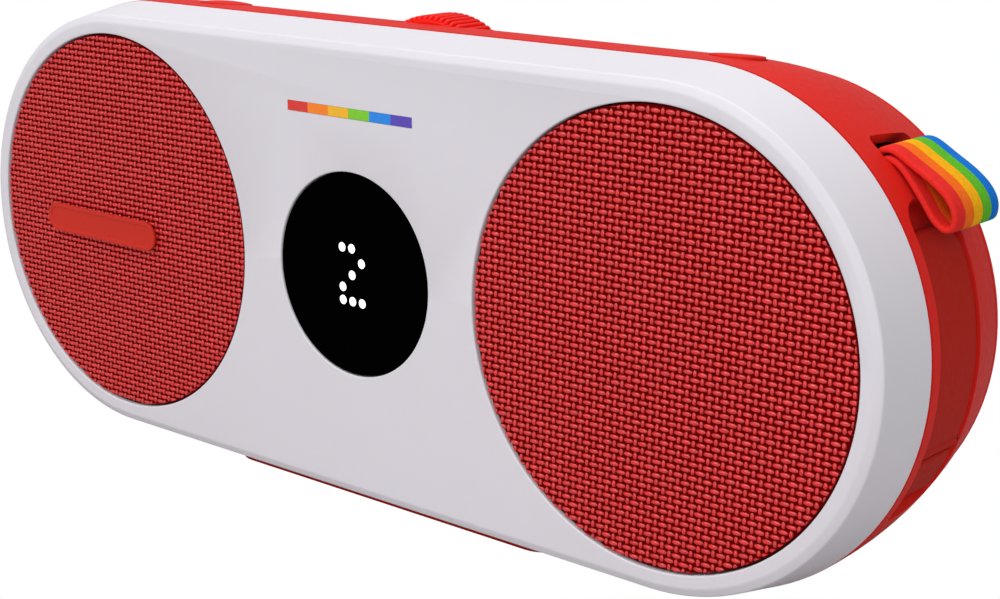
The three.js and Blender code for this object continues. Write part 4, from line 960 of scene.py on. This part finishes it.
# %% The foot
foot_low, foot_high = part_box("foot")
FOOT_BASE = level_of(foot_low.z)
FOOT_CORNER, FOOT_HEIGHT = 6, 6
foot_outline = rounded(foot_low.x / MM, foot_high.x / MM, depth_of(foot_low.y), depth_of(foot_high.y),
                       (FOOT_CORNER,) * 4)
foot = prism("rubber_foot", foot_outline, FOOT_BASE, FOOT_BASE + FOOT_HEIGHT)
form = [(CHAMFER_RADIUS + GAP, CHAMFER_DEPTH), (BODY_RADIUS + GAP, BEZEL_DEPTH)]
form += crown(GAP, CROWN_START, HOUSING_BACK)
grooves = [bar("cut", x - 0.5, x + 0.5, 9, 35.5, FOOT_BASE - CUT, FOOT_BASE + 0.5) for x in range(-36, 37, 6)]
join_or_cut(foot, [track("cut", form)] + grooves)
round_edges(foot, 0.35, angle=30)
finished(foot, red_rubber, "root", "red_silicone", "foot")

# %% [markdown]
# ## The volume dial
# A knurled wheel stands out of the top. Its rim has straight ribs that round over at both ends. One
# rib is a low bar with rounded ends, and a tree turns it about the wheel's axis.

# %% The turning tree and the dial
def turning_tree():
    """Copies of a shape, turned in equal steps about an axis along y through a centre."""
    tree = Tree("turned about an axis")
    shape, number = tree.input("Shape", "NodeSocketObject"), tree.input("Count", "NodeSocketInt")
    centre = tree.input("Centre", "NodeSocketVector")
    material = tree.input("Material", "NodeSocketMaterial")
    source = tree.node("GeometryNodeObjectInfo", {"Object": shape, "As Instance": True})
    line = tree.node("GeometryNodeMeshLine", {"Count": number, "Start Location": centre, "Offset": (0, 0, 0)})
    step = tree.math("DIVIDE", 2 * math.pi, number)
    angle = tree.math("MULTIPLY", tree.node("GeometryNodeInputIndex").outputs[0], step)
    placed = tree.node("GeometryNodeInstanceOnPoints", {
        "Points": line.outputs[0], "Instance": source.outputs["Geometry"],
        "Rotation": tree.node("ShaderNodeCombineXYZ", {"Y": angle}).outputs[0]})
    return tree.finish(placed.outputs[0], material)


DIAL_RIBS = 80
DIAL_BORE = 3.3
RIB_DEPTH = 0.8
RIB_WIDTH = 0.86
RIB_END = [(0.12, 0.8, 0.42), (0.3, 0.92, 0.66), (0.65, 1, 0.88), (1.1, 1, 1)]  # inset, width, rise
dial_core = DIAL_RADIUS - RIB_DEPTH


def rib_shape():
    """One rib at the top of a wheel whose axis is the frame's own y axis."""
    root, tip, half = dial_core - 0.3, DIAL_RADIUS, RIB_WIDTH / 2
    rings = []
    for inset, width, rise in RIB_END + [(DIAL_BACK - DIAL_FRONT - inset, width, rise)
                                         for inset, width, rise in reversed(RIB_END)]:
        y, high, w = DIAL_FRONT + inset, root + (tip - root) * rise, half * width
        rings.append([(-w, y, root), (-w, y, high - 0.24), (-w * 0.78, y, high - 0.07), (-w * 0.35, y, high),
                      (w * 0.35, y, high), (w * 0.78, y, high - 0.07), (w, y, high - 0.24), (w, y, root)])
    rib = new_piece("rib", *skin(rings))
    rib.data.transform(Matrix.Translation(-ORIGIN))
    smooth(rib)
    return rib


wheel = turned("dial", [
    (DIAL_BORE, DIAL_FRONT), (dial_core - 0.3, DIAL_FRONT), (dial_core, DIAL_FRONT + 0.3),
    (dial_core, DIAL_BACK - 0.3), (dial_core - 0.3, DIAL_BACK), (DIAL_BORE, DIAL_BACK)],
    0, DIAL_Z, 180, closed=True)
rib = rib_shape()
ribs = grow("dial_ribs", turning_tree(), Shape=rib, Count=DIAL_RIBS, Centre=world([(0, 0, DIAL_Z)])[0],
            Material=red_gloss)
bpy.data.objects.remove(rib)
round_edges(wheel, 0.12, segments=2)
finished(wheel, red_gloss, "dial", "red_abs", "dial_wheel")
finished(ribs, red_gloss, "dial", "red_abs")

# %% [markdown]
# ## The buttons
# Both are turned shapes on the crown. The left one is a low dome. The right one is a little smaller
# and almost flat. A thin line of shadow round each is the moulding gap.

# %% The buttons
def flange_top(key):
    radius = key["radius"] + 1
    over = max(0, abs(key["x"]) + radius - HALF_SPACING)
    return -WALL - over ** 2 / (2 * (BODY_RADIUS - WALL)) - radius ** 2 / (2 * CROWN_ROUNDING) - GAP


def button(name, key, top_profile, body):
    radius, top = key["radius"], flange_top(key)
    bottom = top - 1
    stem = [(2.2, bottom - 2.4), (2.2, bottom), (radius + 1, bottom), (radius + 1, top), (radius, top)]
    piece = round_on_crown(name, key["x"], stem + top_profile, 96)
    round_edges(piece, 0.18, angle=40)
    return finished(piece, red_plastic, body, "red_abs", name.replace("_cap", "_button"))


def dome(radius, height, edge, steps=10):
    """A shallow dome over a straight edge."""
    shares = [1 - i / (steps + 1) for i in range(steps + 1)]
    return [(radius * s, edge + (height - edge) * (1 - s * s)) for s in shares]


button("power_cap", POWER, dome(POWER["radius"], POWER["dome"], 0.12), "power_key")
play_radius, play_dome = PLAY["radius"], PLAY["dome"]
button("play_cap", PLAY, [(play_radius, play_dome - 0.08), (play_radius - 0.6, play_dome - 0.02),
                          (play_radius - 2, play_dome)], "play_key")

# %% [markdown]
# ## The socket cover
# A soft cover closes the bay. It is a plate bent round the end, with a large soft edge, and it
# swings on a pin near its foot. Below the pin a fixed tail carries on the same shape.

# %% The socket cover and its tail
COVER_INNER, COVER_OUTER = BAY_FLOOR_RADIUS + 0.4, BAY_FLOOR_RADIUS + 2.4
COVER_FRONT, COVER_BACK = BAY_FRONT + 0.4, BAY_BACK - 0.4
COVER_TOP = 29.5
COVER_CORNER = 5.5
cover = bent_plate("socket_cover", COVER_INNER, COVER_OUTER, HINGE_ANGLE + 0.3, COVER_TOP,
                   COVER_FRONT, COVER_BACK, (0.8, COVER_CORNER, COVER_CORNER, 0.8), edge=0.95)
knuckle = turned("knuckle", [
    (HINGE_PIN_RADIUS, COVER_FRONT + 0.6), (KNUCKLE_RADIUS, COVER_FRONT + 0.6),
    (KNUCKLE_RADIUS, COVER_BACK - 0.6), (HINGE_PIN_RADIUS, COVER_BACK - 0.6)],
    hinge_x, hinge_z, 32, closed=True)
join_or_cut(cover, [knuckle], "UNION")
pin_hole = [(HINGE_PIN_RADIUS, COVER_FRONT - CUT), (HINGE_PIN_RADIUS, COVER_BACK + CUT)]
join_or_cut(cover, [turned("cut", pin_hole, hinge_x, hinge_z, 24)])
smooth(cover)
cover.modifiers.new("normals", "WEIGHTED_NORMAL")
bake(cover)
finished(cover, red_rubber, "port_flap", "red_silicone", "port_cover")

tail = bent_plate("cover_tail", BAY_FLOOR_RADIUS + GAP, COVER_OUTER, BAY_BOTTOM + 0.6, HINGE_ANGLE - 2.4,
                  COVER_FRONT, COVER_BACK, (1.0, 0.8, 0.8, 1.0), edge=0.7)
smooth(tail)
tail.modifiers.new("normals", "WEIGHTED_NORMAL")
bake(tail)
finished(tail, red_rubber, "root", "red_silicone", "port_cover_tail")

# %% [markdown]
# ## The carry loop
# Two layers of ribbed webbing leave the slot together and open into a drop. The band is swept along
# one middle line, which is a smooth curve through a few chosen points, given as distances out from
# the housing and along it. The section has a shallow scallop for each cord of the webbing.

# %% The carry loop
LOOP = [(-3, -1.1), (-0.8, -1.05), (0.6, -0.6), (1.7, 0.9), (2.8, 4.2), (4.3, 7.8), (5.2, 10.6), (5.2, 12.9),
        (4.1, 14.6), (2.5, 14.5), (1.4, 12.4), (1.15, 8.5), (1.0, 4.4), (0.75, 2.4), (0.2, 1.1), (-0.8, 0.4),
        (-3, 0.3)]
BAND_THICKNESS = 1.1


def loop_point(out, along):
    level = crown_radius(STRAP_FRONT)
    return end_point(level + out, STRAP_ANGLE - math.degrees(along / level))


def smooth_line(points, steps):
    """A Catmull-Rom curve through the points."""
    last = len(points) - 1
    line = []
    for step in range(last * steps + 1):
        at, share = min(step // steps, last - 1), step / steps - min(step // steps, last - 1)
        p = [Vector(points[min(max(i, 0), last)]) for i in (at - 1, at, at + 1, at + 2)]
        line.append(0.5 * (2 * p[1] + (p[2] - p[0]) * share
                           + (2 * p[0] - 5 * p[1] + 4 * p[2] - p[3]) * share ** 2
                           + (3 * p[1] - p[0] - 3 * p[2] + p[3]) * share ** 3))
    return line


CORDS = 18
CORD_DEPTH = 0.07


def band_section(points_per_cord=4):
    """(y, offset) round the webbing's section, with a scallop for each cord."""
    half = BAND_THICKNESS / 2
    width = STRAP_BACK - STRAP_FRONT
    count = CORDS * points_per_cord
    top = []
    for i in range(count + 1):
        edge = min(i, count - i) / points_per_cord
        soft = 0.2 * max(0, 1 - edge / 0.8) ** 2
        cord = CORD_DEPTH * (1 - abs(math.sin(math.pi * i / points_per_cord)))
        top.append((STRAP_FRONT + width * i / count, half - cord - soft))
    return top + [(y, -offset) for y, offset in reversed(top)]


def webbing(name, line):
    section = band_section()
    rings, lengths = [], [0.0]
    for i, place in enumerate(line):
        ahead, behind = line[min(i + 1, len(line) - 1)], line[max(i - 1, 0)]
        along = (ahead - behind).normalized()
        across = Vector((-along.y, along.x))
        rings.append([(place.x + across.x * offset, y, place.y + across.y * offset) for y, offset in section])
        if i:
            lengths.append(lengths[-1] + (place - line[i - 1]).length)
    piece = new_piece(name, *skin(rings))
    smooth(piece)
    return piece, lengths[-1]


strap_line = smooth_line([loop_point(*p) for p in LOOP], 14)
strap, strap_length = webbing("carry_loop", strap_line)
print("webbing length in the loop", round(strap_length, 1), "mm")
neck = prism("neck", [(-STRAP_THICKNESS, STRAP_FRONT + 0.1), (STRAP_THICKNESS, STRAP_FRONT + 0.1),
                      (STRAP_THICKNESS, STRAP_BACK - 0.1), (-STRAP_THICKNESS, STRAP_BACK - 0.1)],
             PIN_LEVEL, STRAP_SURFACE - 1.2, on_strap_line)
eyelet = turned("eyelet", [(PIN_RADIUS + GAP + STRAP_THICKNESS, STRAP_FRONT + 0.1),
                           (PIN_RADIUS + GAP + STRAP_THICKNESS, STRAP_BACK - 0.1)], pin_x, pin_z, 40)
join_or_cut(neck, [eyelet], "UNION")
neck_hole = [(PIN_RADIUS + GAP, STRAP_FRONT - CUT), (PIN_RADIUS + GAP, STRAP_BACK + CUT)]
join_or_cut(neck, [turned("cut", neck_hole, pin_x, pin_z, 32)])
round_edges(neck, 0.2)
STRIPES = [(236, 44, 38), (250, 112, 24), (252, 180, 14), (96, 188, 40), (14, 118, 214)]
webbing_cloth, tree, shader = striped("striped_webbing", STRIPES, "Y", strap_low.y, strap_high.y, 0.85, 0.12)
shader.inputs["Specular IOR Level"].default_value = 0.15
bump(tree, shader, noise(tree, 2200, 3), 0.6, 0.00015)
finished(strap, webbing_cloth, "root", "strap_webbing", "strap")
finished(neck, webbing_cloth, "root", "strap_webbing")

# %% [markdown]
# ## What is inside
# The pieces inside keep their CAD shapes. Each gets its own finish: pressed paper, green boards,
# plated steel, shrink wrap and black mouldings.

# %% Finishes for the pieces inside
circuit = moulded("circuit_board", (24, 84, 52), 0.42, grain=0.2, shift=0.7)
paper = moulded("pressed_paper", (40, 40, 44), 0.85, grain=0.9, shift=0.8)
INSIDE = {
    circuit: ("display_board", "port_board", "main_board", "power_switch_board", "play_switch_board"),
    steel: ("dial_shaft", "port_cover_pin", "usb_socket", "strap_pin", "driver_magnet", "driver_screw"),
    paper: ("driver_cone",), soft_black: ("driver_surround", "speaker_lead"), cell_wrap: ("battery_cell",),
    ribbon_film: ("display_ribbon",),
    black_plastic: ("baffle", "dial_bracket", "dial_encoder", "aux_socket", "battery_tray", "grille_frame",
                    "driver_basket", "power_switch", "play_switch"),
}
for name, node in nodes.items():
    matches = [material for material, starts in INSIDE.items() if any(name.startswith(s) for s in starts)]
    if matches and not node.hide_render:
        node.data.materials.clear()
        node.data.materials.append(matches[0])
print("carried over:", sorted(name for name, node in nodes.items() if not node.hide_render))

# %% [markdown]
# ## The studio
# A pale floor, a white world, and three large soft lights: one in front and above, one on top, and
# one low on the right. Floor and world look plain white, as in a product picture on white paper.

# %% Floor and lights
def white_to_camera(tree, surface, output):
    """Plain white where the camera looks straight at it; its own shading for all other light."""
    path = tree.nodes.new("ShaderNodeLightPath")
    for_floor = output.bl_idname.endswith("Material")
    glow = tree.nodes.new("ShaderNodeEmission" if for_floor else "ShaderNodeBackground")
    glow.inputs["Color"].default_value = (1, 1, 1, 1)
    glow.inputs["Strength"].default_value = 1.0
    mix = tree.nodes.new("ShaderNodeMixShader")
    tree.links.new(path.outputs["Is Camera Ray"], mix.inputs[0])
    tree.links.new(surface, mix.inputs[1])
    tree.links.new(glow.outputs[0], mix.inputs[2])
    tree.links.new(mix.outputs[0], output.inputs["Surface"])


floor_material, floor_tree, floor_shader = blank("floor", Roughness=0.9, Specular_IOR_Level=0.0)
floor_shader.inputs["Base Color"].default_value = grey(0.45)
white_to_camera(floor_tree, floor_shader.outputs[0], floor_tree.nodes["Material Output"])
floor_mesh = bpy.data.meshes.new("floor")
half = 4.0
corners = [(-half, -half, 0), (half, -half, 0), (half, half, 0), (-half, half, 0)]
floor_mesh.from_pydata(corners, [], [(0, 1, 2, 3)])
floor = bpy.data.objects.new("floor", floor_mesh)
bpy.context.scene.collection.objects.link(floor)
floor.data.materials.append(floor_material)

world_shade = bpy.data.worlds.new("studio")
world_shade.use_nodes = True
world_shade.node_tree.nodes["Background"].inputs["Color"].default_value = (1, 1, 1, 1)
world_shade.node_tree.nodes["Background"].inputs["Strength"].default_value = 0.4
white_to_camera(world_shade.node_tree, world_shade.node_tree.nodes["Background"].outputs[0],
                world_shade.node_tree.nodes["World Output"])
bpy.context.scene.world = world_shade
bpy.context.scene.view_settings.view_transform = "Standard"


def soft_light(name, place, aim, size, power):
    lamp = bpy.data.lights.new(name, "AREA")
    lamp.size = size
    lamp.energy = power
    holder = bpy.data.objects.new(name, lamp)
    bpy.context.scene.collection.objects.link(holder)
    holder.location = place
    holder.rotation_euler = (Vector(aim) - Vector(place)).to_track_quat("-Z", "Y").to_euler()


soft_light("key", (-0.3, -0.85, 1.05), (0, 0, 0.04), 0.9, 7.7)
soft_light("top", (-0.15, 0.1, 1.2), (0, 0, 0.04), 1.0, 6.3)
soft_light("right", (0.8, -1.0, 0.4), (0, 0, 0.04), 0.7, 5)
